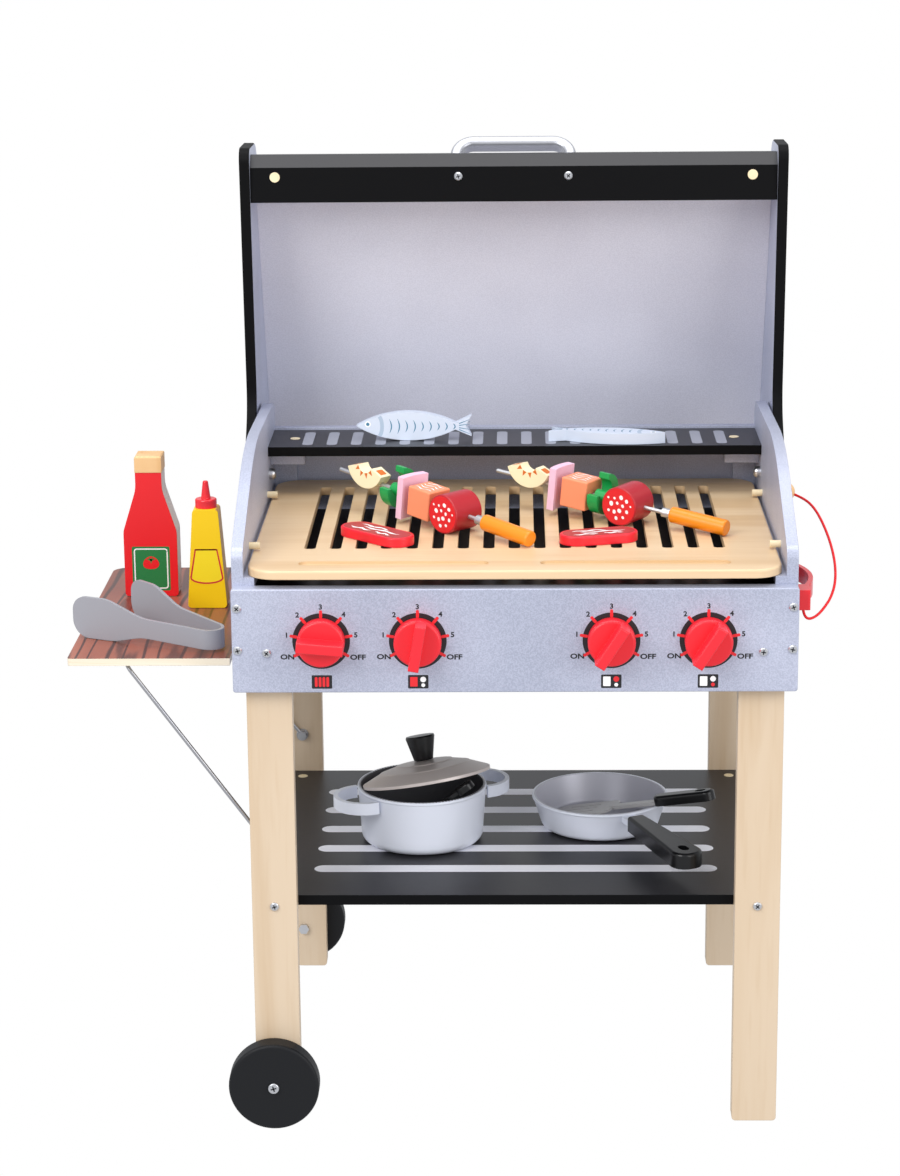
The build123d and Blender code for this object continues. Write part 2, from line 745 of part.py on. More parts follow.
def tether_tool():
    """A block that hangs on the peg, with a bow that curves back to the side panel."""
    x0 = side_outer + rest_gap
    y0 = tool_front
    block_x1 = x0 + 9.1
    body = block(x0, block_x1, y0, y0 + tool_block, tool_low, tool_low + tool_height)
    body = fillet(body.edges().filter_by(Axis.Z), 1.5)
    path = ThreePointArc((block_x1 - 2, y0 + tool_block - 2), (x0 + 12.5, y0 + 38), (x0 + 2, tool_rear))
    bow = sweep(Plane(origin=path @ 0, z_dir=path % 0) * Rectangle(3.4, tool_height - 3), path=path)
    bow = Pos(0, 0, tool_low + tool_height / 2 + 1.5) * bow
    body = body + bow
    body -= rod_x(tool_peg_radius + pin_gap, x0 - 1, side_outer + tool_peg_reach + turn_gap,
                  y0 + tool_block / 2, tool_low + tool_height / 2)
    return body


def on_skewer(name, shape):
    """Place a piece that is modelled along X, from the grip's end, where the skewer lies."""
    x, y = skewer_grips[name]
    grip_z = plate_top + rest_gap + grip_radius
    sausage_z = plate_top + rest_gap + sausage_radius
    tilt = math.degrees(math.asin((sausage_z - grip_z) / food_places[name]["sausage"]))
    return Pos(x, y, grip_z) * Rot(0, 0, skewer_yaws[name]) * Rot(0, -tilt, 0) * shape


def skewer_spit(name):
    spit = rod_x(spit_radius, grip_length - 20, skewer_length, 0, 0)
    spit = chamfer(spit.edges().group_by(Axis.X)[-1], 1.2)
    ferrule = rod_x(ferrule_radius, grip_length, grip_length + ferrule_length, 0, 0)
    return on_skewer(name, spit + ferrule)


def skewer_grip(name):
    grip = rod_x(grip_radius, 0, grip_length, 0, 0)
    grip = fillet(grip.edges().filter_by(GeomType.CIRCLE), 1.5)
    grip -= rod_x(spit_radius, grip_length - 20, grip_length + 1, 0, 0)
    return on_skewer(name, grip)


def wavy_slab(width, height, thickness):
    """A cooked slice: a rounded slab that bends twice."""
    half = thickness / 2
    wave = 1.6
    left = ThreePointArc((-half, -width / 2), (-half + wave, 0), (-half, width / 2))
    right = ThreePointArc((half, -width / 2), (half + wave, 0), (half, width / 2))
    ends = [Line(left @ 0, right @ 0), Line(left @ 1, right @ 1)]
    slab = extrude(make_face([left, right] + ends), amount=height)
    return Pos(0, 0, -height / 2) * slab


def pepper_ring():
    """A curled strip of pepper, open at one side."""
    ring = Rot(0, 90, 0) * Cylinder(pepper_radius, pepper_thickness)
    ring = Pos(0, 0, 3) * ring
    hollow = Pos(0, 3, 6) * Rot(0, 90, 0) * Cylinder(pepper_radius - 7, pepper_thickness + 2)
    mouth = block(-pepper_thickness, pepper_thickness, 0, 30, 4, 30)
    return ring - hollow - mouth + rod_x(5.5, -pepper_thickness / 2, pepper_thickness / 2, 0, 0)


def bread_wedge():
    """A curved slice of bread whose crust is an arc."""
    outer = CenterArc((0, 0), bread_size * 0.62, 200, 140)
    inner = CenterArc((0, 0), bread_size * 0.24, 200, 140)
    face = make_face([outer, inner, Line(outer @ 0, inner @ 0), Line(outer @ 1, inner @ 1)])
    wedge = extrude(face, amount=bread_thickness)
    return Pos(0, 0, 14) * Rot(90, 0, 0) * Pos(0, 0, -bread_thickness / 2) * wedge


def skewer_food(name):
    places = food_places[name]
    hole = rod_x(spit_radius + pin_gap, grip_length, skewer_length, 0, 0)
    sausage = Pos(places["sausage"], 0, 0) * Rot(90, 0, 0) * Cylinder(sausage_radius, sausage_length)
    sausage = fillet(sausage.edges().filter_by(GeomType.CIRCLE), 1.0)
    cube = Pos(places["cube"], 0, 0) * Box(cube_size, cube_size, cube_size)
    cube = fillet(cube.edges(), 1.2)
    ham = Pos(places["ham"], 0, 0) * wavy_slab(ham_width, ham_height, ham_thickness)
    pepper = Pos(places["pepper"], 0, 0) * pepper_ring()
    bread = Pos(places["bread"], 0, 0) * bread_wedge()
    return [on_skewer(name, piece - hole) for piece in (sausage, cube, ham, pepper, bread)]


def meat_slice(x, y, length, yaw):
    piece = extrude(SlotOverall(length, slice_width), amount=slice_thickness)
    piece = fillet(piece.edges().group_by(Axis.Z)[-1], 1.2)
    return Pos(x, y, plate_top + rest_gap) * Rot(0, 0, yaw) * piece


def bottle_outline():
    half = bottle_width / 2
    neck = bottle_neck / 2
    right = [(half, 0, 3), (half, bottle_shoulder, 16),
             (neck, bottle_shoulder + 34, 30), (neck, bottle_body, 0)]
    left = [(-u, v, radius) for u, v, radius in reversed(right)]
    return outline(right + left)


def ketchup_bottle():
    body = facing(bottle_outline(), bottle_front, bottle_front + bottle_depth)
    return Pos(bottle_x, 0, table_top + rest_gap) * body


def ketchup_cap():
    half = bottle_neck / 2 + 0.3
    z0 = table_top + rest_gap + bottle_body
    cap = block(bottle_x - half, bottle_x + half, bottle_front - 0.3, bottle_front + bottle_depth + 0.3,
                z0, z0 + bottle_cap)
    return fillet(cap.edges().group_by(Axis.Z)[-1], 1.5)


def mustard_bottle():
    base = squeeze_base / 2
    neck = squeeze_neck / 2
    corners = [(-base, 0, 3), (base, 0, 3), (neck, squeeze_body, 3), (-neck, squeeze_body, 3)]
    body = facing(outline(corners), squeeze_front, squeeze_front + squeeze_depth)
    return Pos(squeeze_x, 0, table_top + rest_gap) * body


def mustard_cap():
    z0 = table_top + rest_gap + squeeze_body
    y = squeeze_front + squeeze_depth / 2
    flange = rod_z(8.4, z0, z0 + squeeze_flange, squeeze_x, y)
    flange = fillet(flange.edges().group_by(Axis.Z)[-1], 1.2)
    tip = Pos(squeeze_x, y, z0 + squeeze_flange + squeeze_tip / 2) * Cone(3.8, 2.0, squeeze_tip)
    tip = fillet(tip.edges().group_by(Axis.Z)[-1], 1.2)
    return flange + tip


def tongs_tip(yaw):
    turn = math.radians(yaw)
    return (tongs_corner[0] + tongs_length * math.cos(turn), tongs_corner[1] + tongs_length * math.sin(turn))


def tongs_side(yaw, inward):
    """One arm's side view as a slab along the arm: it rises a little and widens to a rounded paddle."""
    reach = tongs_length - 0.5
    profile = [(tongs_bend_radius, 0, 0), (reach - 60, tongs_rise, 50), (reach - 36, 0, 40), (reach, 0, 14),
               (reach, tongs_height, 11), (reach - 30, tongs_height, 30),
               (reach - 60, tongs_rise + tongs_arm_height, 45), (tongs_bend_radius, tongs_arm_height, 0)]
    y0, y1 = sorted((-inward * tongs_thickness, inward * tongs_bend_radius))
    return Pos(*tongs_corner, 0) * Rot(0, 0, yaw) * facing(outline(profile), y0, y1)


def tongs():
    """A bent strip on edge, with an arm on each side of a round bend."""
    path = FilletPolyline(tongs_tip(tongs_front_yaw), tongs_corner, tongs_tip(tongs_rear_yaw),
                          radius=tongs_bend_radius)
    section = Rectangle(tongs_thickness, tongs_height * 2)
    strip = sweep(Plane(origin=path @ 0, z_dir=path % 0) * section, path=path)
    arms = (strip & tongs_side(tongs_front_yaw, -1)) + (strip & tongs_side(tongs_rear_yaw, 1))
    return Pos(0, 0, table_top + rest_gap) * arms


def fish_outline():
    """A fish seen from its side: head at x = 0, tail at x = length."""
    length = fish_length
    half = fish_height / 2
    back = ThreePointArc((0, 0), (length * 0.42, half), (length * 0.86, 2.6))
    belly = ThreePointArc((0, 0), (length * 0.42, -half), (length * 0.86, -2.6))
    tail = Polyline(back @ 1, (length, 9.0), (length * 0.95, 0.5), (length, -8.0), belly @ 1)
    return make_face([back, belly, tail])


def fish_upright():
    """The first fish stands on its belly and faces the viewer."""
    body = Rot(90, 0, 0) * extrude(fish_outline(), amount=fish_thickness / 2, both=True)
    z = rack_top + rest_gap + fish_height / 2
    return Pos(upright_fish_x, back_front - upright_fish_inset, z) * Rot(0, 0, -2) * body


def fish_flat():
    """The second fish lies flat, tail to the left and a little turned."""
    body = extrude(fish_outline(), amount=fish_thickness)
    return Pos(flat_fish_x, back_front - flat_fish_inset, rack_top + rest_gap) * Rot(0, 0, 170) * body


def turned_profile(points):
    """A solid of revolution about Z from (radius, height) points."""
    face = make_face(Polyline(*points, close=True))
    return revolve(Plane.XZ * face, axis=Axis.Z)


def pot():
    """A round pot with a rolled rim and two loop handles."""
    inner = pot_radius - pot_wall
    outside = Pos(0, 0, pot_height / 2) * Cone(pot_radius - 3, pot_radius, pot_height)
    outside = fillet(outside.edges().group_by(Axis.Z)[0], 7)
    inside = Pos(0, 0, pot_height / 2 + pot_wall) * Cone(inner - 3, inner, pot_height)
    inside = fillet(inside.edges().group_by(Axis.Z)[0], 5)
    rim = Pos(0, 0, pot_height - 1.5) * Torus(pot_radius - pot_wall / 2, 1.5)
    body = outside - inside
    for side in (-1, 1):
        foot = side * (pot_radius - 4)
        path = ThreePointArc((foot, -pot_handle_width / 2), (side * (pot_radius + pot_handle_reach), 0),
                             (foot, pot_handle_width / 2))
        strap = sweep(Plane(origin=path @ 0, z_dir=path % 0) * Rectangle(3.6, 9.5), path=path)
        strap = Pos(0, 0, pot_height - 7.0) * strap
        body += strap - rod_z(pot_radius - pot_wall / 2, -1, pot_height + 9, 0, 0)
    body += rim
    return Pos(pot_x, pot_y, shelf_top + rest_gap) * Rot(0, 0, pot_handle_turn) * body


def on_pot(shape):
    """Place what is modelled on the lid's own axis. The lid dips into the pot at the back left."""
    lean = Rot(0, 0, lid_lean_yaw) * Pos(lid_shift, 0, 0) * Rot(0, -lid_tilt, 0)
    return Pos(pot_x, pot_y, shelf_top + rest_gap + pot_height + lid_lift) * lean * shape


def pot_lid():
    radius = pot_radius
    points = [(0, 1.5), (radius - 8, 0), (radius, 0), (radius, 2.2), (radius - 1, 2.8), (radius * 0.72, 8.5),
              (radius * 0.70, 9.3), (radius * 0.46, 12.2), (radius * 0.44, 13.0), (0, 14.5)]
    return on_pot(turned_profile(points))


def pot_lid_knob():
    points = [(0, 14.7), (7.5, 14.7), (7.8, 16), (11.5, 32.5), (11.0, 34.0), (0, 34.6)]
    return on_pot(turned_profile(points))


def between(start, end, shape):
    """Place a piece that is modelled along X at a start point, pointing at an end point."""
    run = Vector(*end) - Vector(*start)
    yaw = math.degrees(math.atan2(run.Y, run.X))
    pitch = math.degrees(math.asin(run.Z / run.length))
    return Pos(*start) * Rot(0, 0, yaw) * Rot(0, -pitch, 0) * shape


def pot_spoon():
    """A black spoon that stands in the pot and leans on its rim, with a thick looped end."""
    length = (Vector(*spoon_end) - Vector(*spoon_start)).length
    handle = extrude(Pos(length - 26, 0) * SlotOverall(52, 8.0), amount=1.5, both=True)
    neck = Pos(length / 2 - 12, 0, 0) * Box(length - 24, 4.0, 2.8)
    bowl = extrude(Pos(2, 0) * Ellipse(7.5, 5), amount=1.2, both=True)
    loop = Pos(length - spoon_loop_length / 2 + 2, 0) * SlotOverall(spoon_loop_length, spoon_loop_width)
    loop = extrude(loop, amount=spoon_loop_thickness / 2, both=True)
    loop = fillet(loop.edges().group_by(Axis.Z)[-1], 1.8)
    ring = extrude(Pos(length - 6, 0) * SlotOverall(8, 4.4), amount=8, both=True)
    return between(spoon_start, spoon_end, handle + neck + bowl + loop - ring)


def pan():
    base = pan_radius - 8
    outside = Pos(0, 0, pan_height / 2) * Cone(base, pan_radius, pan_height)
    outside = fillet(outside.edges().group_by(Axis.Z)[0], 5)
    inside = Pos(0, 0, pan_height / 2 + pan_wall) * Cone(base - pan_wall, pan_radius - pan_wall, pan_height)
    inside = fillet(inside.edges().group_by(Axis.Z)[0], 4)
    rim = Pos(0, 0, pan_height - 1.2) * Torus(pan_radius - pan_wall / 2, 1.3)
    tang = block(pan_radius - 1.5, pan_radius + 13, -6, 6, pan_height - 7, pan_height - 2)
    body = outside - inside + rim + tang
    return Pos(pan_x, pan_y, shelf_top + rest_gap) * Rot(0, 0, pan_handle_yaw) * body


def pan_handle():
    """A black grip that widens to a rounded end with a hanging hole."""
    x0 = pan_radius + 10
    x1 = x0 + pan_handle_length
    corners = [(x0, -7, 2), (x1, -13, 11), (x1, 13, 11), (x0, 7, 2)]
    grip = upright(outline(corners), pan_height - 10, pan_height + 2)
    grip = fillet(grip.edges().group_by(Axis.Z)[-1], 2.5)
    grip -= Pos(x1 - 15, 0, 0) * extrude(SlotOverall(11, 7), amount=3 * pan_height)
    grip -= block(x0 - 1, pan_radius + 13 + 0.01, -6, 6, pan_height - 7, pan_height - 2)
    return Pos(pan_x, pan_y, shelf_top + rest_gap) * Rot(0, 0, pan_handle_yaw) * grip


def spatula_blade():
    blade = Pos(28, 0, 0) * extrude(RectangleRounded(56, 34, 9), amount=0.9, both=True)
    for y in (-8, 0, 8):
        blade -= Pos(26, y, -3) * extrude(SlotOverall(28, 2.2), amount=6)
    neck = Pos(74, 0, 0) * Box(44, 8, 3.0)
    return between(spatula_start, spatula_end, blade + neck)


def spatula_grip():
    length = (Vector(*spatula_end) - Vector(*spatula_start)).length
    grip = Pos(length - 24.0, 0, -2.0) * extrude(SlotOverall(52, 13), amount=8.0)
    grip = fillet(grip.edges().group_by(Axis.Z)[-1], 2.5)
    grip -= Pos(length - 9, 0, -6) * extrude(SlotOverall(9, 5), amount=14)
    grip -= Pos(84, 0, 0) * Box(24.02, 8, 3.0)
    return between(spatula_start, spatula_end, grip)


def all_pieces():
    """Every node's name and its solids."""
    front_wheel = panel_thickness - wheel_gap - wheel_width
    nodes = {
        "leg_front_left": leg(-1, panel_thickness, board_bottom),
        "leg_front_right": leg(1, panel_thickness, board_bottom),
        "leg_rear_left": leg(-1, box_depth, rear_leg_top),
        "leg_rear_right": leg(1, box_depth, rear_leg_top),
        "bottom_shelf": bottom_shelf(),
        "control_panel": control_panel(),
        "side_panel_left": side_panel(-1),
        "side_panel_right": side_panel(1),
        "back_panel": back_panel(),
        "frame_battens": frame_battens(),
        "ember_board": ember_board(),
        "warming_rack": warming_rack(),
        "dowel_pegs": dowel_pegs(),
        "knob_pins": knob_pins(),
        "frame_screws": frame_screws(),
        "pivot_bolts": pivot_bolts(),
        "table_hinge_leaves": table_hinge_leaves(),
        "tether_bead": tether_bead(),
        "tether_cord": tether_cord(),
        "tether_tool": tether_tool(),
        "grill_plate": grill_plate(),
        "wheel_front": wheel(front_wheel),
        "wheel_rear": wheel(rear_leg_back + wheel_gap),
        "lid_cheek_left": lid_cheek(-1),
        "lid_cheek_right": lid_cheek(1),
        "lid_cover": lid_cover(),
        "lid_rails": lid_rails(),
        "lid_handle": lid_handle(),
        "lid_fixings": lid_fixings(),
        "side_table": side_table(),
        "table_fittings": table_fittings(),
        "support_bail": support_bail(),
        "slice_a": meat_slice(-103.0, 100.5, 69.0, -45.0),
        "slice_b": meat_slice(63.0, 92.0, 60.0, 16.0),
        "ketchup_bottle": ketchup_bottle(),
        "ketchup_cap": ketchup_cap(),
        "mustard_bottle": mustard_bottle(),
        "mustard_cap": mustard_cap(),
        "tongs": tongs(),
        "fish_a": fish_upright(),
        "fish_b": fish_flat(),
        "pot": pot(),
        "pot_lid": pot_lid(),
        "pot_lid_knob": pot_lid_knob(),
        "pot_spoon": pot_spoon(),
        "pan": pan(),
        "pan_handle": pan_handle(),
        "spatula_blade": spatula_blade(),
        "spatula_grip": spatula_grip(),
    }
    for number, (x, turn) in enumerate(zip(knob_xs, knob_turns), start=1):
        nodes[f"knob_{number}"] = knob(x, turn)
    for name in skewer_grips:
        nodes[f"{name}_spit"] = skewer_spit(name)
        nodes[f"{name}_grip"] = skewer_grip(name)
        nodes[f"{name}_food"] = skewer_food(name)
    return nodes


def as_one(solids):
    return Compound(solids) if isinstance(solids, list) else solids


def frame_shift(nodes):
    """The move that puts the middle of the grill's footprint, without the free cord, at X = Y = 0."""
    boxes = [shape.bounding_box() for name, shape in nodes.items() if name != "tether_cord"]
    low_x = min(box.min.X for box in boxes)
    high_x = max(box.max.X for box in boxes)
    low_y = min(box.min.Y for box in boxes)
    high_y = max(box.max.Y for box in boxes)
    return (-(low_x + high_x) / 2, -(low_y + high_y) / 2, 0.0)


nodes = {name: as_one(solids) for name, solids in all_pieces().items()}
shift = frame_shift(nodes)
print("frame shift", [round(value, 4) for value in shift])

if __name__ == "__main__":
    os.makedirs("parts", exist_ok=True)
    for name, shape in nodes.items():
        export_step(Pos(*shift) * shape, f"parts/{name}.step")
    print(len(nodes), "nodes written")
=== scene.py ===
# %% [markdown]
# # A toy barbecue grill
# A wooden play grill: a lacquered plywood box on four birch legs, a lid on two bolts, a slotted cooking
# plate, four dials, a side table and loose play food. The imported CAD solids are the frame. This script gives
# them their finishes, adds the prints and marks that are too thin for a solid, and sets light and camera.

# %%
import math
import random

import bpy
from mathutils import Matrix, Vector


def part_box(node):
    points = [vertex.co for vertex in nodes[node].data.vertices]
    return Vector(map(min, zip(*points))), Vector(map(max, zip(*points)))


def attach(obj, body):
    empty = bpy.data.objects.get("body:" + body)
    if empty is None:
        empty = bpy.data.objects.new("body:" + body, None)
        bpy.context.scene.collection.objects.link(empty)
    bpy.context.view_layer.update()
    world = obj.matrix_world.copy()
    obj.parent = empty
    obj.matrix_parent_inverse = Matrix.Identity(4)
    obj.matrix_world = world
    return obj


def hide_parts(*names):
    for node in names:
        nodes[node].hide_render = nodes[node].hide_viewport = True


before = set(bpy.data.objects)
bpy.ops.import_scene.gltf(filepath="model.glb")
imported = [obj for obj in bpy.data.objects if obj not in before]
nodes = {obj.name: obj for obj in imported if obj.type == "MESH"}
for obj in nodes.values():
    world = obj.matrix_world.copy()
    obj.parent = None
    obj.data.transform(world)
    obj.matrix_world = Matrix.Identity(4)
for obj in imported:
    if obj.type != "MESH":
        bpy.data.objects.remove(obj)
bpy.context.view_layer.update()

# %% [markdown]
# ## Where things are
# Every measure below is in millimetres from one origin: the floor under the middle of the control panel's
# front face. `spot` turns such a measure into the shared frame. The origin is read from the panel's own box,
# so the looks follow the solids when the frame is moved. The heights below are those of the solids.

# %%
plate_top = 433.0
fish_floor = 473.0
rest_gap = 0.3
off_surface = 0.05
panel_low, panel_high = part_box("control_panel")
origin = Vector(((panel_low.x + panel_high.x) / 2, panel_low.y, 0.0))


def spot(x, y, z):
    return origin + Vector((x, y, z)) * 0.001


def placed(x, y, z, yaw=0.0, tilt=0.0):
    """The place of a piece that is modelled along X: turned about Z, its far end raised by tilt."""
    turn = Matrix.Rotation(math.radians(yaw), 4, "Z") @ Matrix.Rotation(math.radians(-tilt), 4, "Y")
    return Matrix.Translation(spot(x, y, z)) @ turn @ Matrix.Scale(0.001, 4)


def box_mm(node):
    """A CAD node's two corners, in millimetres from the origin."""
    low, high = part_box(node)
    return (low - origin) * 1000, (high - origin) * 1000


print("origin", [round(value, 5) for value in origin])

# %% [markdown]
# ## Materials
# The boards of such a toy are plywood under sprayed lacquer, the legs bare birch with a clear coat, the
# fasteners plated steel, and the pot and pan are enamelled. Every finish here is procedural: noise for the
# grain and flakes, and a small bump over softened edges for the coat. So none needs a picture, and all stay
# sharp from near. `colour` is the one place where an sRGB code becomes linear light. `add` makes a shader
# node and sets or links its inputs.

# %%
def colour(code):
    parts = [int(code[i:i + 2], 16) / 255 for i in (1, 3, 5)]
    return [p / 12.92 if p <= 0.04045 else ((p + 0.055) / 1.055) ** 2.4 for p in parts] + [1.0]


def add(tree, kind, inputs=None, **settings):
    node = tree.nodes.new(kind)
    for key, value in settings.items():
        setattr(node, key, value)
    for key, value in (inputs or {}).items():
        if isinstance(value, bpy.types.NodeSocket):
            tree.links.new(value, node.inputs[key])
        else:
            node.inputs[key].default_value = value
    return node


def blend(tree, factor, first, second):
    """A colour between two colours."""
    node = add(tree, "ShaderNodeMix", {0: factor, 6: first, 7: second}, data_type="RGBA")
    return node.outputs[2]


def ramp(tree, value, low, high):
    """0 below low, 1 above high, smooth between."""
    inputs = {"Value": value, "From Min": low, "From Max": high}
    return add(tree, "ShaderNodeMapRange", inputs, interpolation_type="SMOOTHSTEP").outputs["Result"]


def coordinates(tree, stretch=(1, 1, 1)):
    base = add(tree, "ShaderNodeTexCoord").outputs["Object"]
    return add(tree, "ShaderNodeMapping", {"Vector": base, "Scale": stretch}).outputs["Vector"]


def noise(tree, vector, scale, detail=3.0, roughness=0.5):
    inputs = {"Vector": vector, "Scale": scale, "Detail": detail, "Roughness": roughness}
    return add(tree, "ShaderNodeTexNoise", inputs).outputs["Fac"]


def start(name, code, roughness, metallic=0.0, coat=0.0):
    """A material with one plain colour; what follows may link more into it."""
    material = bpy.data.materials.new(name)
    material.use_nodes = True
    tree = material.node_tree
    surface = tree.nodes["Principled BSDF"]
    surface.inputs["Base Color"].default_value = colour(code)
    surface.inputs["Roughness"].default_value = roughness
    surface.inputs["Metallic"].default_value = metallic
    surface.inputs["Coat Weight"].default_value = coat
    surface.inputs["Coat Roughness"].default_value = 0.12
    return material, tree, surface


def relief(tree, surface, height, distance, edge=0.0):
    """A small bump over softened edges."""
    inputs = {"Height": height, "Distance": distance, "Strength": 1.0}
    if edge:
        inputs["Normal"] = add(tree, "ShaderNodeBevel", {"Radius": edge}, samples=4).outputs["Normal"]
    tree.links.new(add(tree, "ShaderNodeBump", inputs).outputs["Normal"], surface.inputs["Normal"])


def paint(name, code, roughness=0.35, edge=0.0007, unevenness=0.00004, coat=0.0, scale=160.0, shine=0.5):
    """Lacquer over wood: a faint unevenness and softened edges."""
    material, tree, surface = start(name, code, roughness, coat=coat)
    surface.inputs["Specular IOR Level"].default_value = shine
    relief(tree, surface, noise(tree, coordinates(tree), scale), unevenness, edge)
    return material


def silver_lacquer(name, dark, light, roughness=0.42, metallic=0.35):
    """Silver lacquer: fine flakes, slow cloudiness."""
    material, tree, surface = start(name, light, roughness, metallic=metallic)
    vector = coordinates(tree)
    flakes = ramp(tree, noise(tree, vector, 1150.0, 1.0), 0.35, 0.65)
    clouds = ramp(tree, noise(tree, vector, 9.0, 2.0), 0.3, 0.7)
    amount = add(tree, "ShaderNodeMath", {0: flakes, 1: clouds}, operation="ADD").outputs[0]
    half = add(tree, "ShaderNodeMath", {0: amount, 1: 0.5}, operation="MULTIPLY").outputs[0]
    tree.links.new(blend(tree, half, colour(dark), colour(light)), surface.inputs["Base Color"])
    relief(tree, surface, noise(tree, vector, 420.0, 2.0), 0.00004, 0.0007)
    return material


def wood(name, light, dark, stretch, contrast=1.0, roughness=0.42, edge=0.0007, coat=0.0):
    """Wood whose grain runs along the axis with the small stretch: slow bands, fine pores."""
    material, tree, surface = start(name, light, roughness, coat=coat)
    vector = coordinates(tree, stretch)
    bend = noise(tree, vector, 5.0, 2.0)
    grain = {"Vector": vector, "Scale": 26.0, "Detail": 4.0, "Distortion": 1.2}
    bands = add(tree, "ShaderNodeTexNoise", grain)
    pores = noise(tree, vector, 260.0, 2.0)
    slow = ramp(tree, bands.outputs["Fac"], 0.38, 0.72)
    fine = ramp(tree, pores, 0.5, 0.75)
    mixed = add(tree, "ShaderNodeMath", {0: fine, 1: 0.35, 2: slow}, operation="MULTIPLY_ADD").outputs[0]
    cloud = add(tree, "ShaderNodeMath", {0: bend, 1: 0.4, 2: mixed}, operation="MULTIPLY_ADD").outputs[0]
    amount = add(tree, "ShaderNodeMath", {0: cloud, 1: 0.45 * contrast}, operation="MULTIPLY").outputs[0]
    tree.links.new(blend(tree, amount, colour(light), colour(dark)), surface.inputs["Base Color"])
    relief(tree, surface, pores, 0.00003, edge)
    return material


def metal(name, code, roughness=0.3, metallic=1.0, edge=0.0):
    material, tree, surface = start(name, code, roughness, metallic=metallic)
    relief(tree, surface, noise(tree, coordinates(tree), 700.0, 2.0), 0.00001, edge)
    return material


def table_print(name):
    """Printed boards: red-brown with dark streaks and fine lines that run from front to back."""
    material, tree, surface = start(name, "#A9654F", 0.34)
    vector = coordinates(tree, (1.0, 0.13, 1.0))
    warp = noise(tree, vector, 11.0, 2.0)
    streaks = ramp(tree, noise(tree, vector, 62.0, 2.0, 0.4), 0.56, 0.66)
    inputs = {"Vector": vector, "Scale": 24.0, "Distortion": 7.0, "Detail": 2.0, "Detail Scale": 1.2}
    rings = add(tree, "ShaderNodeTexWave", inputs, wave_type="BANDS", bands_direction="X").outputs["Fac"]
    lines = ramp(tree, rings, 0.86, 0.99)
    zones = ramp(tree, warp, 0.38, 0.64)
    base = blend(tree, zones, colour("#A8614C"), colour("#804839"))
    streaked = blend(tree, streaks, base, colour("#683D33"))
    tree.links.new(blend(tree, lines, streaked, colour("#50302A")), surface.inputs["Base Color"])
    relief(tree, surface, warp, 0.00002, 0.0004)
    return material


silver = silver_lacquer("silver_lacquer", "#A6ABBE", "#C8CCDF")
silver_sheet = silver_lacquer("silver_lid_lacquer", "#CFCFDC", "#E2E2EE", 0.5, 0.12)
black = paint("black_lacquer", "#17161B", 0.38, shine=0.5)
# A darker, duller copy of the black lacquer. It is painted shade for the black boards' edges and the cheeks'
# outsides, whose paint is the same black as the tops.
black_shaded_copy = paint("black_shaded_copy", "#050507", 0.5, shine=0.12)
birch = wood("birch_legs", "#DBC6AC", "#C5A782", (1.0, 1.0, 0.06))
ply_edge = wood("plywood_edge", "#F3E9D6", "#CFB68E", (0.1, 0.1, 6.0))
plate_wood = wood("plate_wood", "#E4C8A2", "#C8A06C", (0.07, 1.0, 1.0), 0.9, 0.36)
turned_wood = wood("turned_wood", "#F2E2BE", "#D8BC88", (1.0, 1.0, 0.3))
cap_wood = wood("cap_wood", "#EEC48E", "#D29A58", (1.0, 1.0, 0.1))
raw_wood = wood("unpainted_side", "#E6DAD2", "#C9B8AC", (1.0, 1.0, 0.08))
mustard_side_wood = wood("unpainted_mustard_side", "#E2B468", "#B98A44", (1.0, 1.0, 0.08))
print_top = table_print("table_print")
red = paint("red_lacquer", "#E3202B", 0.28, coat=0.25)
knob_red = paint("knob_red", "#EC2230", 0.36, edge=0.0008, unevenness=0.00006)
tick_red = paint("print_red", "#E2222B", 0.5, edge=0.0)
print_black = paint("print_black", "#17171B", 0.5, edge=0.0)
print_white = paint("print_white", "#F4F4F4", 0.5, edge=0.0)
stripe_white = paint("shelf_stripe", "#F0F0F7", 0.4, edge=0.0)
rack_grey = paint("rack_mark", "#9A9DA9", 0.4, edge=0.0)
# Painted shade for the hollows of the screws' cross drives; the steel there is no darker than the head.
recess_shade = paint("painted_recess_shade", "#2A2B30", 0.6, edge=0.0)
steel = metal("zinc_plated_steel", "#D5D6DA", 0.32)
wire_steel = metal("wire_steel", "#B9B9BD", 0.3)
wheel_black = paint("wheel_black", "#16171A", 0.5, unevenness=0.00009, shine=0.25)
cord_red = paint("cord_red", "#E3121C", 0.7, edge=0.0, unevenness=0.0001, scale=900.0)
sauce_red = paint("ketchup_red", "#E81C24", 0.34)
label_green = paint("label_green", "#1E7A3E", 0.45, edge=0.0)
mustard_yellow = paint("mustard_yellow", "#FFD200", 0.42)
field_yellow = paint("field_yellow", "#FFE11A", 0.45, edge=0.0)
label_red = paint("label_red", "#D1122E", 0.5, edge=0.0)
tongs_grey = paint("tongs_grey", "#9C9CA3", 0.34)
pot_grey = paint("pot_enamel", "#E6EAF6", 0.34, coat=0.2)
pot_inside = paint("pot_inside", "#6A6A70", 0.42)
pot_lid_grey = metal("pot_lid_grey", "#CCC2BD", 0.38, metallic=0.2)
pan_inside = metal("pan_inside", "#BCBCC6", 0.42, metallic=0.3)
black_plastic = paint("black_plastic", "#0F0F11", 0.28, shine=0.4)
blade_grey = paint("blade_grey", "#B4B3B4", 0.34)
handle_silver = metal("handle_silver", "#B7B8BE", 0.34, metallic=0.6, edge=0.0008)
salami_cut = paint("salami_cut", "#DC1C24", 0.4, edge=0.0)
salami_skin = paint("salami_skin", "#B01D28", 0.34)
salmon = paint("salmon_cube", "#F5936A", 0.42)
ham_pink = paint("ham_pink", "#F0C4DA", 0.42)
pepper_green = paint("pepper_green", "#12A04E", 0.4)
bread_cream = paint("bread_cream", "#FBEFC6", 0.45)
toast_orange = paint("toast_orange", "#D9701C", 0.5, edge=0.0)
grip_orange = paint("grip_orange", "#F28C0E", 0.32, coat=0.2)
slice_red = paint("slice_red", "#E8192C", 0.34)
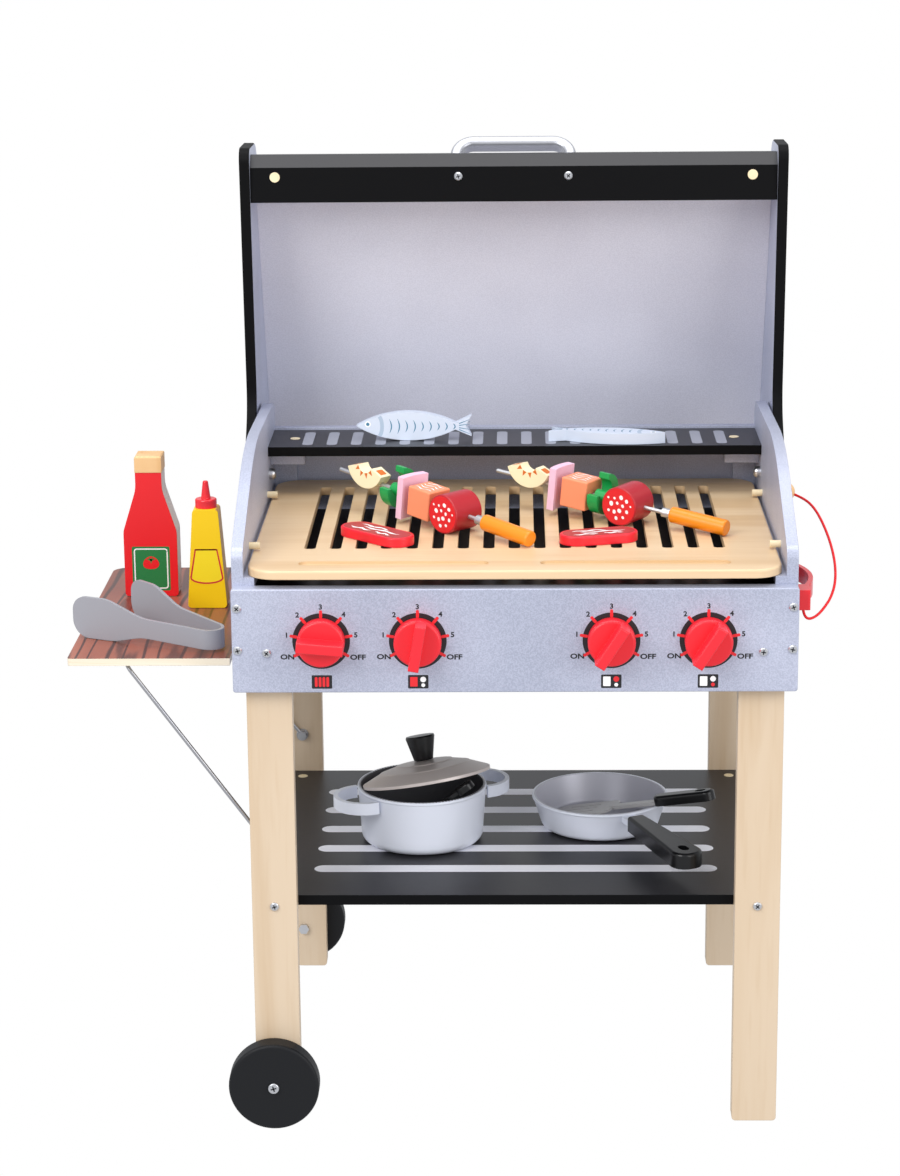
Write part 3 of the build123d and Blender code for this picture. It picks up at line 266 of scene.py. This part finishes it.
slice_dark = paint("slice_top", "#B0302F", 0.42, edge=0.0)
fish_blue = paint("fish_blue", "#D3DCEC", 0.42)
fish_teal = paint("fish_teal", "#3F7FA0", 0.5, edge=0.0)
fish_grey = paint("fish_grey", "#AFC0D4", 0.5, edge=0.0)
print("materials", len(bpy.data.materials))

# %% [markdown]
# ## Finishes on the CAD solids
# Most pieces are dipped, sprayed or turned as one, so they have one finish. A few are painted on one side
# only: the side table's print is on its top, the lid's cheeks are silver inside, the pot and pan are darker
# inside, and the bottles are cut from painted board. The black boards' sides and the cheeks' outsides get a
# darker, duller copy of the black lacquer, which is painted shade. Their faces are told apart by the way
# they face, which leaves the CAD meshes as they are.

# %%
plain = {
    "leg_front_left": birch, "leg_front_right": birch, "leg_rear_left": birch, "leg_rear_right": birch,
    "control_panel": silver, "side_panel_left": silver, "side_panel_right": silver,
    "back_panel": silver, "frame_battens": silver, "ember_board": black,
    "dowel_pegs": turned_wood, "knob_pins": turned_wood, "frame_screws": steel, "pivot_bolts": steel,
    "table_hinge_leaves": steel, "tether_bead": cap_wood, "tether_tool": red, "grill_plate": plate_wood,
    "wheel_front": wheel_black, "wheel_rear": wheel_black, "lid_cover": silver_sheet,
    "lid_handle": handle_silver, "table_fittings": steel, "support_bail": wire_steel,
    "ketchup_cap": cap_wood, "mustard_cap": red, "tongs": tongs_grey, "fish_a": fish_blue,
    "fish_b": fish_blue, "pot_lid": pot_lid_grey, "pot_lid_knob": black_plastic, "pot_spoon": black_plastic,
    "pan_handle": black_plastic, "spatula_blade": blade_grey, "spatula_grip": black_plastic,
    "skewer_a_grip": grip_orange, "skewer_b_grip": grip_orange, "slice_a": slice_red, "slice_b": slice_red,
    "knob_1": knob_red, "knob_2": knob_red, "knob_3": knob_red, "knob_4": knob_red,
}


def finish_by(node, materials, choose):
    """Gives each face of a node the material whose number choose(centre in mm, normal) returns."""
    data = nodes[node].data
    data.materials.clear()
    for material in materials:
        data.materials.append(material)
    for face in data.polygons:
        face.material_index = choose((face.center - origin) * 1000, face.normal)


for node, material in plain.items():
    finish_by(node, [material], lambda centre, normal: 0)
finish_by("side_table", [ply_edge, print_top], lambda c, n: 1 if n.z > 0.9 else 0)
# The cheeks are black outside and silver inside; their black is the darker copy of the lacquer, painted shade.
finish_by("lid_cheek_left", [black_shaded_copy, silver], lambda c, n: 1 if n.x > 0.9 else 0)
finish_by("lid_cheek_right", [black_shaded_copy, silver], lambda c, n: 1 if n.x < -0.9 else 0)
# Tops keep the black lacquer; all other faces get its darker copy, painted shade on the edges.
for node in ("bottom_shelf", "warming_rack", "lid_rails"):
    finish_by(node, [black_shaded_copy, black], lambda c, n: 1 if n.z > 0.5 else 0)
finish_by("ketchup_bottle", [sauce_red, raw_wood], lambda c, n: 0 if abs(n.y) > 0.5 or n.x < -0.3 else 1)
finish_by("mustard_bottle", [mustard_yellow, mustard_side_wood],
          lambda c, n: 0 if abs(n.y) > 0.5 or n.x < 0.3 else 1)
pot_floor = box_mm("pot")[0].z + 1.0
pan_floor = box_mm("pan")[0].z + 1.0
pot_middle = Vector((-73.5, 155.0, 0.0))
pan_middle = Vector((67.5, 188.0, 0.0))
pot_rim_radius, pan_rim_radius = 49.2, 52.6


def inside_of(middle, radius, floor):
    """Faces that look inwards to the middle, or up from the floor inside the rim."""
    def choose(centre, normal):
        out = Vector((centre.x - middle.x, centre.y - middle.y, 0.0))
        inward = out.length > 1 and out.normalized().dot(normal) < -0.3
        return 1 if out.length < radius and centre.z > floor and (inward or normal.z > 0.5) else 0
    return choose


finish_by("pot", [pot_grey, pot_inside], inside_of(pot_middle, pot_rim_radius, pot_floor))
finish_by("pan", [pot_grey, pan_inside], inside_of(pan_middle, pan_rim_radius, pan_floor))
finish_by("lid_fixings", [steel, turned_wood], lambda c, n: 1 if abs(c.x) > 100 else 0)
print("finished", len(plain), "plain nodes")

# %% [markdown]
# ## Mesh helpers
# The toy's marks are screen and pad prints: an even film of ink, far thinner than the lacquer under it. They
# are flat faces a twentieth of a millimetre off the painted surface, so they have sharp edges at any distance
# and no surface flickers through another. Each helper returns outlines in two dimensions, and `marks` lays
# them on a surface.

# %%
def disc(u, v, radius, count=32):
    steps = [2 * math.pi * i / count for i in range(count)]
    return [(u + radius * math.cos(a), v + radius * math.sin(a)) for a in steps]


def rounded(u, v, width, height, radius, turn=0.0, steps=6):
    """A rectangle with round corners."""
    points = []
    corners = [(1, 1, 0), (-1, 1, 90), (-1, -1, 180), (1, -1, 270)]
    for side_u, side_v, first in corners:
        for i in range(steps + 1):
            a = math.radians(first + 90 * i / steps)
            x = side_u * (width / 2 - radius) + radius * math.cos(a)
            y = side_v * (height / 2 - radius) + radius * math.sin(a)
            points.append((x, y))
    c, s = math.cos(math.radians(turn)), math.sin(math.radians(turn))
    return [(u + x * c - y * s, v + x * s + y * c) for x, y in points]


def arc_band(u, v, inner, outer, first, last, count=48):
    """A band along an arc, as quads; angles in degrees clockwise from straight up."""
    quads = []
    for i in range(count):
        a, b = [math.radians(first + (last - first) * k / count) for k in (i, i + 1)]
        quad = [(inner, a), (outer, a), (outer, b), (inner, b)]
        quads.append([(u + r * math.sin(t), v + r * math.cos(t)) for r, t in quad])
    return quads


def stroke(points, width):
    """A band of one width along a line, as quads. Width may be a list, one value per point."""
    widths = width if isinstance(width, list) else [width] * len(points)
    sides = []
    for i, (x, y) in enumerate(points):
        x0, y0 = points[max(i - 1, 0)]
        x1, y1 = points[min(i + 1, len(points) - 1)]
        length = math.hypot(x1 - x0, y1 - y0)
        nx, ny = -(y1 - y0) / length, (x1 - x0) / length
        h = widths[i] / 2
        sides.append(((x + nx * h, y + ny * h), (x - nx * h, y - ny * h)))
    return [[a[0], a[1], b[1], b[0]] for a, b in zip(sides, sides[1:])]


def new_object(name, data, material, body):
    data.materials.append(material)
    piece = bpy.data.objects.new(name, data)
    bpy.context.scene.collection.objects.link(piece)
    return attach(piece, body)


def marks(name, outlines, lay, material, body):
    """Flat faces from outlines; lay turns (u, v) into a point of the shared frame."""
    points, faces = [], []
    for outline in outlines:
        faces.append(list(range(len(points), len(points) + len(outline))))
        points += [lay(u, v) for u, v in outline]
    data = bpy.data.meshes.new(name)
    data.from_pydata([tuple(p) for p in points], [], faces)
    return new_object(name, data, material, body)


def letters(text, u, v, size, spread=1.0):
    """The outlines of a short text, as triangles and quads, centred on (u, v)."""
    curve = bpy.data.curves.new("letters", "FONT")
    curve.body = text
    curve.size = size
    curve.align_x = "CENTER"
    curve.align_y = "CENTER"
    curve.offset = 0.035 * size
    curve.resolution_u = 3
    holder = bpy.data.objects.new("letters", curve)
    bpy.context.scene.collection.objects.link(holder)
    data = bpy.data.meshes.new_from_object(holder)
    faces = [[data.vertices[i].co for i in face.vertices] for face in data.polygons]
    result = [[(u + co.x * spread, v + co.y) for co in face] for face in faces]
    bpy.data.objects.remove(holder)
    bpy.data.curves.remove(curve)
    bpy.data.meshes.remove(data)
    return result


def on_plane(y):
    """Lays (u, v) as X and Z on an upright plane that faces the viewer."""
    return lambda u, v: spot(u, y, v)


def on_level(z):
    """Lays (u, v) as X and Y on a level plane."""
    return lambda u, v: spot(u, v, z)


print("helpers ready")

# %% [markdown]
# ## Prints on the control panel
# Around each dial: a black ring, seven red ticks, the numbers one to five and the two end words. Under each
# dial: a pictogram of the burners it works. They are pad-printed on the silver lacquer before the dials go
# on, so they lie flat on the panel. The four dials share one layout, which a loop repeats.

# %%
dial_xs = (-140.0, -70.0, 70.0, 140.0)
dial_z = 381.8
panel_print = on_plane(-0.06)
rings, ticks, words = [], [], []
labels = [(-116, "ON", 27.4), (-80, "1", 25.4), (-41, "2", 25.8), (0, "3", 25.4), (40, "4", 25.8),
          (80, "5", 25.6), (115, "OFF", 29.2)]
ring_inner, ring_outer = 15.0, 20.9
tick_middle, tick_length, tick_width = 20.2, 6.0, 2.2
letter_size = 5.2
for x in dial_xs:
    rings += arc_band(x, dial_z, ring_inner, ring_outer, 0, 360, 72)
    for angle in (-120, -80, -40, 0, 40, 80, 120):
        a = math.radians(angle)
        place = (x + tick_middle * math.sin(a), dial_z + tick_middle * math.cos(a))
        ticks.append(rounded(*place, tick_width, tick_length, 0.9, -angle))
    for angle, text, reach in labels:
        a = math.radians(angle)
        wide = 1.25 if len(text) > 1 else 1.05
        words += letters(text, x + reach * math.sin(a), dial_z + reach * math.cos(a), letter_size, wide)
marks("dial_rings", rings, panel_print, print_black, "frame")
marks("dial_ticks", ticks, on_plane(-0.1), tick_red, "frame")
marks("dial_words", words, panel_print, print_black, "frame")

frames, whites, reds = [], [], []
icon_z = 351.0
icon_width, icon_height = 14.8, 10.2
for number, x in enumerate(dial_xs):
    frames.append(rounded(x, icon_z, icon_width, icon_height, 0.8))
    if number == 0:
        reds += [rounded(x + k * 2.8, icon_z, 2.0, 7.4, 0.8) for k in (-1.5, -0.5, 0.5, 1.5)]
        continue
    body, big, small = [(reds, whites, whites), (whites, reds, whites), (whites, whites, reds)][number - 1]
    body.append(rounded(x - 3.2, icon_z, 5.4, 7.2, 0.5))
    big.append(disc(x + 3.6, icon_z + 1.7, 2.1, 20))
    small.append(disc(x + 3.6, icon_z - 2.6, 1.4, 20))
marks("dial_icons", frames, panel_print, print_black, "frame")
marks("icon_whites", whites, on_plane(-0.1), print_white, "frame")
marks("icon_reds", reds, on_plane(-0.1), tick_red, "frame")
print("dial prints", len(words), "letter faces")

# %% [markdown]
# ## Marks on the shelf and the rack
# Both are black boards, and light stripes printed on them stand for the bars of a real grill's grate. Five
# long stripes run across the shelf and eighteen short ones across the rack. They are prints and not slots, so
# they are faces on the solid tops.

# %%
shelf_high = box_mm("bottom_shelf")[1]
stripe_length, stripe_depth = 309.0, 15.0
stripes = [rounded(0, y, stripe_length, stripe_depth, stripe_depth / 2 - 0.01)
           for y in (83.2, 129.0, 174.6, 221.0, 266.7)]
marks("shelf_stripes", stripes, on_level(shelf_high.z + off_surface), stripe_white, "frame")
rack_high = box_mm("warming_rack")[1]
rack_mark_count, rack_mark_pitch, rack_mark_y = 18, 19.5, 281
rack_mark_width, rack_mark_depth, rack_mark_corner = 8.4, 50, 3.4
rack_marks = [rounded((i - (rack_mark_count - 1) / 2) * rack_mark_pitch, rack_mark_y,
                      rack_mark_width, rack_mark_depth, rack_mark_corner)
              for i in range(rack_mark_count)]
marks("rack_marks", rack_marks, on_level(rack_high.z + off_surface), rack_grey, "frame")
print("stripes", len(stripes), "rack marks", len(rack_marks))

# %% [markdown]
# ## Cross recesses in the screws
# The toy is put together at home with a cross-head driver. The solids have plain round heads, so each
# head's cross-shaped hollow is drawn as two bars of painted shade, the dark that the real hollow holds. Every
# screw stops at another angle, so each cross is turned differently.

# %%
screw_head = 1.86
leg_face, rear_face, axle_face, lid_rail_face = 12, 337.6, -8.06, 268
frame_screw_x, shelf_screw_z, lid_screw_x, lid_screw_z = 179.8, 172.85, 43.2, 685


def crosses(name, places, lay, body, size=3.6, width=0.9):
    outlines = []
    for number, (u, v) in enumerate(places):
        turn = 17 + 31 * number
        outlines.append(rounded(u, v, size, width, 0.2, turn, 2))
        outlines.append(rounded(u, v, width, size, 0.2, turn, 2))
    return marks(name, outlines, lay, recess_shade, body)


panel_screws = [(s * 200.75, z) for s in (-1, 1) for z in (374.8, 406.3)]
panel_screws += [(s * frame_screw_x, 372.8) for s in (-1, 1)]
crosses("panel_screw_crosses", panel_screws, on_plane(-screw_head), "frame")
shelf_screws = [(s * frame_screw_x, shelf_screw_z) for s in (-1, 1)]
crosses("shelf_screw_crosses", shelf_screws, on_plane(leg_face - screw_head), "frame")
rear_screws = [(s * frame_screw_x, z) for s in (-1, 1) for z in (shelf_screw_z, 362.8, 422.8)]
crosses("rear_screw_crosses", rear_screws, on_plane(rear_face + screw_head), "frame")
crosses("axle_cross", [(-182.3, 34.4)], on_plane(axle_face), "frame", 4.6, 1.1)
lid_screws = [(s * lid_screw_x, lid_screw_z) for s in (-1, 1)]
crosses("lid_screw_crosses", lid_screws, on_plane(lid_rail_face - screw_head), "lid")
print("screw recesses made")

# %% [markdown]
# ## The bottles' labels
# Each label is a printed field on the painted front: a green one with a tomato, a yellow one with an outline.
# A bottle is a shape sawn from board, so its front is flat and the label needs no wrapping. The inks are laid
# one over the other in steps of a twentieth of a millimetre, as a printer lays them.

# %%
bottle_low, bottle_high = box_mm("ketchup_bottle")
label_width, label_height = 30, 36
bottle_x = (bottle_low.x + bottle_high.x) / 2
label_z = bottle_low.z + 22.6
tomato_z = label_z + 4.2
face_print = bottle_low.y
label_shape = [rounded(bottle_x, label_z, label_width, label_height, 1.5)]
marks("ketchup_label", label_shape, on_plane(face_print - 0.05), label_green, "ketchup")
line = rounded(bottle_x, label_z, label_width - 4, label_height - 4, 2.0)
edge_line = stroke(line + line[:2], 1.0)
marks("ketchup_label_line", edge_line, on_plane(face_print - 0.1), print_white, "ketchup")
tomato = [(bottle_x + 6.4 * math.cos(a), tomato_z + 5.2 * math.sin(a) - 0.6 * math.cos(2 * a))
          for a in [2 * math.pi * i / 40 for i in range(40)]]
marks("tomato", [tomato], on_plane(face_print - 0.1), sauce_red, "ketchup")
leaves = []
for turn in (-70, -25, 25, 70, 180):
    a = math.radians(turn)
    tip = (bottle_x + 3.9 * math.sin(a), tomato_z + 2.8 + 2.8 * math.cos(a))
    leaves += stroke([(bottle_x, tomato_z + 2.6), tip], [1.6, 0.3])
marks("tomato_leaves", leaves, on_plane(face_print - 0.15), label_green, "ketchup")

squeeze_low, squeeze_high = box_mm("mustard_bottle")
squeeze_x = (squeeze_low.x + squeeze_high.x) / 2
field_low, field_high = squeeze_low.z + 24.5, squeeze_low.z + 47.0
low_half, high_half, field_bow = 12.4, 8.4, 4.4
field = [(squeeze_x - high_half, field_high), (squeeze_x + high_half, field_high)]
field += [(squeeze_x + low_half * math.cos(a), field_low + field_bow * math.sin(a))
          for a in [-math.pi * i / 16 for i in range(17)]]
marks("mustard_field", [field], on_plane(squeeze_low.y - 0.04), field_yellow, "mustard")
field_edge = stroke(field + field[:2], 1.25)
marks("mustard_outline", field_edge, on_plane(squeeze_low.y - 0.08), label_red, "mustard")
print("labels made")

# %% [markdown]
# ## The fish
# Each fish is a sawn board, painted pale blue and printed: a teal eye, a gill line, curved rib strokes and
# tail lines. The first stands on its belly and is printed on both faces, the second lies flat and shows its
# upper face. One set of strokes serves all three, laid along the place of each fish.

# %%
fish_height, fish_thickness = 23.0, 9.0


def fish_outlines():
    """Strokes on one side of a fish: head at u = 0, tail at u = 93, back up."""
    strokes = []
    for i in range(9):
        u = 27 + i * 6.4
        h = (6.6 - 0.48 * i) * (1.0 if i % 2 else 0.86)
        curve = [(u + 1.6 * math.cos(math.pi * k / 8 - math.pi / 2), h * (k / 4 - 1)) for k in range(9)]
        strokes += stroke(curve, [0.15, 0.5, 0.8, 0.9, 0.9, 0.9, 0.8, 0.5, 0.15])
    for v in (-4.5, -1.8, 1.6, 4.4):
        strokes += stroke([(83, v * 0.55), (91.5, v * 1.3)], [0.7, 0.25])
    return strokes


def fish_side(lay, name, body):
    eye = [disc(9.5, 1.6, 1.35, 20)]
    gill = stroke([(17 + 4.0 * math.cos(a), 9.0 * math.sin(a)) for a in
                   [math.radians(-62 + 124 * k / 14) for k in range(15)]], 3.0)
    marks(name + "_gill", gill, lay(0.05), fish_grey, body)
    marks(name + "_eye_white", [disc(9.5, 1.6, 2.5, 24)], lay(0.05), print_white, body)
    marks(name + "_eye", eye, lay(0.08), fish_teal, body)
    marks(name + "_ribs", fish_outlines(), lay(0.05), fish_teal, body)


fish_half = fish_thickness / 2
upright_fish = placed(-127.0, 277.0, fish_floor + fish_height / 2, -2.0)
flat_fish = placed(120.5, 256.0, fish_floor, 170.0)
fish_side(lambda off: lambda u, v: upright_fish @ Vector((u, -fish_half - off, v)), "fish_a", "fish_left")
fish_side(lambda off: lambda u, v: upright_fish @ Vector((u, fish_half + off, v)), "fish_a_back", "fish_left")
fish_side(lambda off: lambda u, v: flat_fish @ Vector((u, v, fish_thickness + off)), "fish_b", "fish_right")
print("fish marked on three faces")

# %% [markdown]
# ## The food on the skewers
# The food is painted wooden blocks, each bored and threaded on a steel spit with a turned grip. A skewer's
# blocks are the solids of one node and lie along one axis, so a face's distance from the grip's end tells
# which block it is on, and so its paint. The sausage's cut ends get flecks of fat, the pink cube a few veins
# and the bread its toasted patches, printed like all else.

# %%
skewers = {
    "skewer_a": {"at": (12.3, 72.1), "yaw": 136.6,
                 "food": {"sausage": 79.0, "cube": 108.0, "ham": 126.0, "pepper": 141.0, "bread": 174.0}},
    "skewer_b": {"at": (159.6, 104.6), "yaw": 147.5,
                 "food": {"sausage": 86.6, "pepper": 109.5, "cube": 129.0, "ham": 147.5, "bread": 175.0}},
}
sausage_height, grip_height = 15.0, 6.2
food_finish = {"sausage": salami_skin, "cube": salmon, "ham": ham_pink}
food_finish.update({"pepper": pepper_green, "bread": bread_cream})


def islands(data):
    """Each face's island number, faces that share vertices being one island."""
    parent = list(range(len(data.vertices)))

    def root(i):
        while parent[i] != i:
            parent[i] = parent[parent[i]]
            i = parent[i]
        return i
    merged = {}
    for vertex in data.vertices:
        key = tuple(round(c * 1e6) for c in vertex.co)
        if key in merged:
            parent[root(vertex.index)] = root(merged[key])
        merged[key] = vertex.index
    for face in data.polygons:
        first = root(face.vertices[0])
        for other in face.vertices[1:]:
            parent[root(other)] = first
    return [root(face.vertices[0]) for face in data.polygons]


def skewer_place(name):
    skewer = skewers[name]
    tilt = math.degrees(math.asin((sausage_height - grip_height) / skewer["food"]["sausage"]))
    return placed(*skewer["at"], plate_top + rest_gap + grip_height, skewer["yaw"], tilt)


random.seed(7)
sausage_half, cube_half, bread_half, print_lift = 14.0, 11.5, 5.5, 0.06
crumb_radius, crumb_z, toast_radius = 7.9, 14.0, 12.2
for name, skewer in skewers.items():
    place = skewer_place(name)
    back = place.inverted()
    data = nodes[name + "_food"].data
    data.materials.clear()
    kinds = list(skewer["food"])
    for kind in kinds:
        data.materials.append(food_finish[kind])
    groups = {}
    for face, island in zip(data.polygons, islands(data)):
        groups.setdefault(island, []).append(face)
    for faces in groups.values():
        along = sum((back @ face.center).x for face in faces) / len(faces)
        nearest = min(range(len(kinds)), key=lambda k: abs(skewer["food"][kinds[k]] - along))
        for face in faces:
            face.material_index = nearest
    centre = skewer["food"]["sausage"]
    for side in (-1, 1):
        lay_cut = lambda off: (lambda u, v: place @ Vector((centre + u, side * (sausage_half + off), v)))
        marks(f"{name}_cut_{side + 1}", [disc(0, 0, sausage_half, 40)], lay_cut(0.05), salami_cut, name)
        spots = [(-6.5, 5.5, 1.5), (-1.5, 7.5, 1.7), (4.2, 6.0, 1.0), (-3.5, 1.2, 1.3), (1.4, 2.6, 1.2),
                 (6.6, 1.4, 1.8), (-7.5, -2.6, 1.4), (-1.0, -3.0, 1.7), (3.4, -4.6, 1.5), (8.4, -4.2, 1.1),
                 (-4.6, -7.6, 1.2), (1.2, -9.2, 1.4), (9.6, 5.6, 0.9), (-10.3, 2.2, 0.8)]
        fat = [rounded(u, v, 2.1 * r, 1.8 * r, 0.85 * r, random.uniform(0, 90), 4) for u, v, r in spots]
        marks(f"{name}_fat_{side + 1}", fat, lay_cut(0.1), print_white, name)
    cube = skewer["food"]["cube"]
    veins = []
    for k in range(4):
        v0 = -7.5 + 4.8 * k
        wave = [(-8.5 + 17 * t / 10, v0 + 1.2 * math.sin(t * 0.9 + k)) for t in range(11)]
        veins += stroke(wave, [0.2, 0.8, 1.3, 0.8, 0.3, 0.9, 1.5, 1.2, 0.7, 0.9, 0.2])
    lay_cube = lambda u, v: place @ Vector((cube + u, v, cube_half + print_lift))
    marks(f"{name}_veins_top", veins, lay_cube, print_white, name)
    bread = skewer["food"]["bread"]
    toasted = []
    for angle in (222, 256, 290, 324):
        a, half = math.radians(angle), math.radians(13)
        toasted.append([(crumb_radius * math.cos(a - half), crumb_z + crumb_radius * math.sin(a - half)),
                        (toast_radius * math.cos(a), crumb_z + toast_radius * math.sin(a)),
                        (crumb_radius * math.cos(a + half), crumb_z + crumb_radius * math.sin(a + half))])
    for side in (-1, 1):
        lay_toast = lambda u, v: place @ Vector((bread + u, side * (bread_half + print_lift), v))
        marks(f"{name}_toast_{side + 1}", toasted, lay_toast, toast_orange, name)
    for number, angle in enumerate((200, 340)):
        a = math.radians(angle)
        lay_end = lambda u, v: place @ Vector((bread + v * math.cos(a), u,
                                               crumb_z + print_lift + v * math.sin(a)))
        marks(f"{name}_crust_{number}", [rounded(0, 14.0, 6.5, 6.5, 0.8)], lay_end, toast_orange, name)
print("skewer food finished")

# %% [markdown]
# ## Marbling on the two slices
# A slice is a red oval board with a darker printed top and four white streaks of fat, thick in the middle and
# thin at their ends. One drawing serves both: it is shortened with the slice.

# %%
slice_width, slice_thickness, slice_border, drawn_length = 26, 7.0, 4.6, 69
streaks_of_fat = ((5.2, -22, 8, 0.0), (0.4, -16, 24, 1.4), (-5.0, -24, -2, 2.2), (-5.4, 3, 20, 0.6))


def slice_marks(name, x, y, length, yaw, body):
    place = placed(x, y, plate_top + rest_gap + slice_thickness, yaw)
    lay = lambda off: (lambda u, v: place @ Vector((u, v, off)))
    inner = slice_width - slice_border
    top = rounded(0, 0, length - slice_border, inner, inner / 2 - 0.01, 0, 14)
    marks(name + "_top", [top], lay(0.05), slice_dark, body)
    fat = []
    reach = length / drawn_length
    steps = 14
    for v0, u0, u1, phase in streaks_of_fat:
        places = [(u0 + (u1 - u0) * k / steps, math.sin(k * 0.8 + phase)) for k in range(steps + 1)]
        line = [(u * reach, v0 + 0.9 * wave) for u, wave in places]
        widths = [0.3 + 2.9 * math.sin(math.pi * k / steps) ** 0.6 * (0.75 + 0.25 * math.sin(k * 1.7 + phase))
                  for k in range(steps + 1)]
        fat += stroke(line, widths)
    marks(name + "_fat", fat, lay(0.1), print_white, body)


slice_marks("slice_a", -103.0, 100.5, 69.0, -45.0, "meat_a")
slice_marks("slice_b", 63.0, 92.0, 60.0, 16.0, "meat_b")
print("slices marked")

# %% [markdown]
# ## The cord
# A braided red cord of 2 mm keeps the small tool with the toy. It is knotted in the bead on the side panel,
# hangs in one bow and goes up into the tool's block from below. Its length is what the photo shows from end
# to end. It is a round curve along the same points as the CAD cord, so it fills the same space.

# %%
cord_route = [
    (217.6, 194.0, 445.0), (224.5, 182.0, 444.5), (231.0, 164.0, 441.0), (236.0, 142.0, 433.0),
    (239.5, 119.0, 423.0), (240.5, 96.0, 413.5), (238.5, 74.0, 405.0), (233.5, 55.0, 399.0),
    (228.0, 42.0, 395.5), (221.5, 31.5, 391.5), (214.5, 25.5, 389.8), (210.4, 23.2, 393.9),
    (209.7, 23.0, 399.5),
]
curve = bpy.data.curves.new("cord", "CURVE")
curve.dimensions = "3D"
line = curve.splines.new("NURBS")
line.points.add(len(cord_route) - 1)
for point, place in zip(line.points, cord_route):
    point.co = (*spot(*place), 1.0)
line.order_u = 3
line.use_endpoint_u = True
curve.resolution_u = 12
curve.bevel_depth = 0.001
curve.bevel_resolution = 5
curve.use_fill_caps = True
curve.materials.append(cord_red)
cord = bpy.data.objects.new("cord", curve)
bpy.context.scene.collection.objects.link(cord)
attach(cord, "frame")
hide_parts("tether_cord")
run = sum((spot(*b) - spot(*a)).length for a, b in zip(cord_route, cord_route[1:]))
print("cord run", round(run, 4))

# %% [markdown]
# ## The camera and the light
# The camera stands where the photo's stood: about two metres away, a little above the lid, looking down by
# fifteen degrees. The world is white to the camera, as in a cut-out product picture, and a soft grey to
# everything else. Three large lights shape the solids like a studio's softboxes.

# %%
def aim(target_object, place, forward, roll=0.0):
    side = forward.cross(Vector((0, 0, 1))).normalized()
    above = side.cross(forward).normalized()
    turn = Matrix.Rotation(roll, 3, forward)
    side, above = turn @ side, turn @ above
    frame_turn = Matrix((side, above, -forward)).transposed().to_4x4()
    target_object.matrix_world = Matrix.Translation(place) @ frame_turn


camera_data = bpy.data.cameras.new("camera")
camera_data.sensor_fit = "HORIZONTAL"
sensor_width, focal_pixels, photo_pixels = 36.0, 2959.1, 900.0
camera_data.sensor_width = sensor_width
camera_data.lens = sensor_width * focal_pixels / photo_pixels
camera_data.clip_start = 0.05
camera_data.clip_end = 50.0
camera = bpy.data.objects.new("camera", camera_data)
bpy.context.scene.collection.objects.link(camera)
bpy.context.scene.camera = camera
yaw, pitch, camera_roll = -0.0237, math.radians(14.70), 0.0093
forward = Vector((math.sin(yaw) * math.cos(pitch), math.cos(yaw) * math.cos(pitch), -math.sin(pitch)))
aim(camera, spot(2.5, -2059.8, 961.8), forward, camera_roll)


def softbox(name, place, target, width, height, power):
    data = bpy.data.lights.new(name, "AREA")
    data.shape = "RECTANGLE"
    data.size = width
    data.size_y = height
    data.energy = power
    lamp = bpy.data.objects.new(name, data)
    bpy.context.scene.collection.objects.link(lamp)
    aim(lamp, place, (target - place).normalized())


middle = spot(0, 150, 380)
softbox("key", spot(-1300, -1500, 1700), middle, 1.2, 1.2, 34.0)
softbox("fill", spot(1500, -1300, 900), middle, 1.4, 1.4, 18.0)
softbox("top", spot(0, 100, 2100), middle, 1.6, 1.2, 16.0)

world = bpy.data.worlds.new("studio")
bpy.context.scene.world = world
world.use_nodes = True
sky = world.node_tree
sky.nodes.clear()
rays = add(sky, "ShaderNodeLightPath")
seen = add(sky, "ShaderNodeMath", {0: rays.outputs["Is Camera Ray"], 1: rays.outputs["Is Transmission Ray"]},
           operation="MAXIMUM").outputs[0]
white = add(sky, "ShaderNodeBackground", {"Color": (1, 1, 1, 1), "Strength": 1.0})
room = add(sky, "ShaderNodeBackground", {"Color": (0.95, 0.97, 1.0, 1), "Strength": 0.72})
choice = add(sky, "ShaderNodeMixShader", {0: seen, 1: room.outputs[0], 2: white.outputs[0]})
add(sky, "ShaderNodeOutputWorld", {"Surface": choice.outputs[0]})
bpy.context.scene.view_settings.view_transform = "Standard"
print("camera at", [round(value, 4) for value in camera.location])
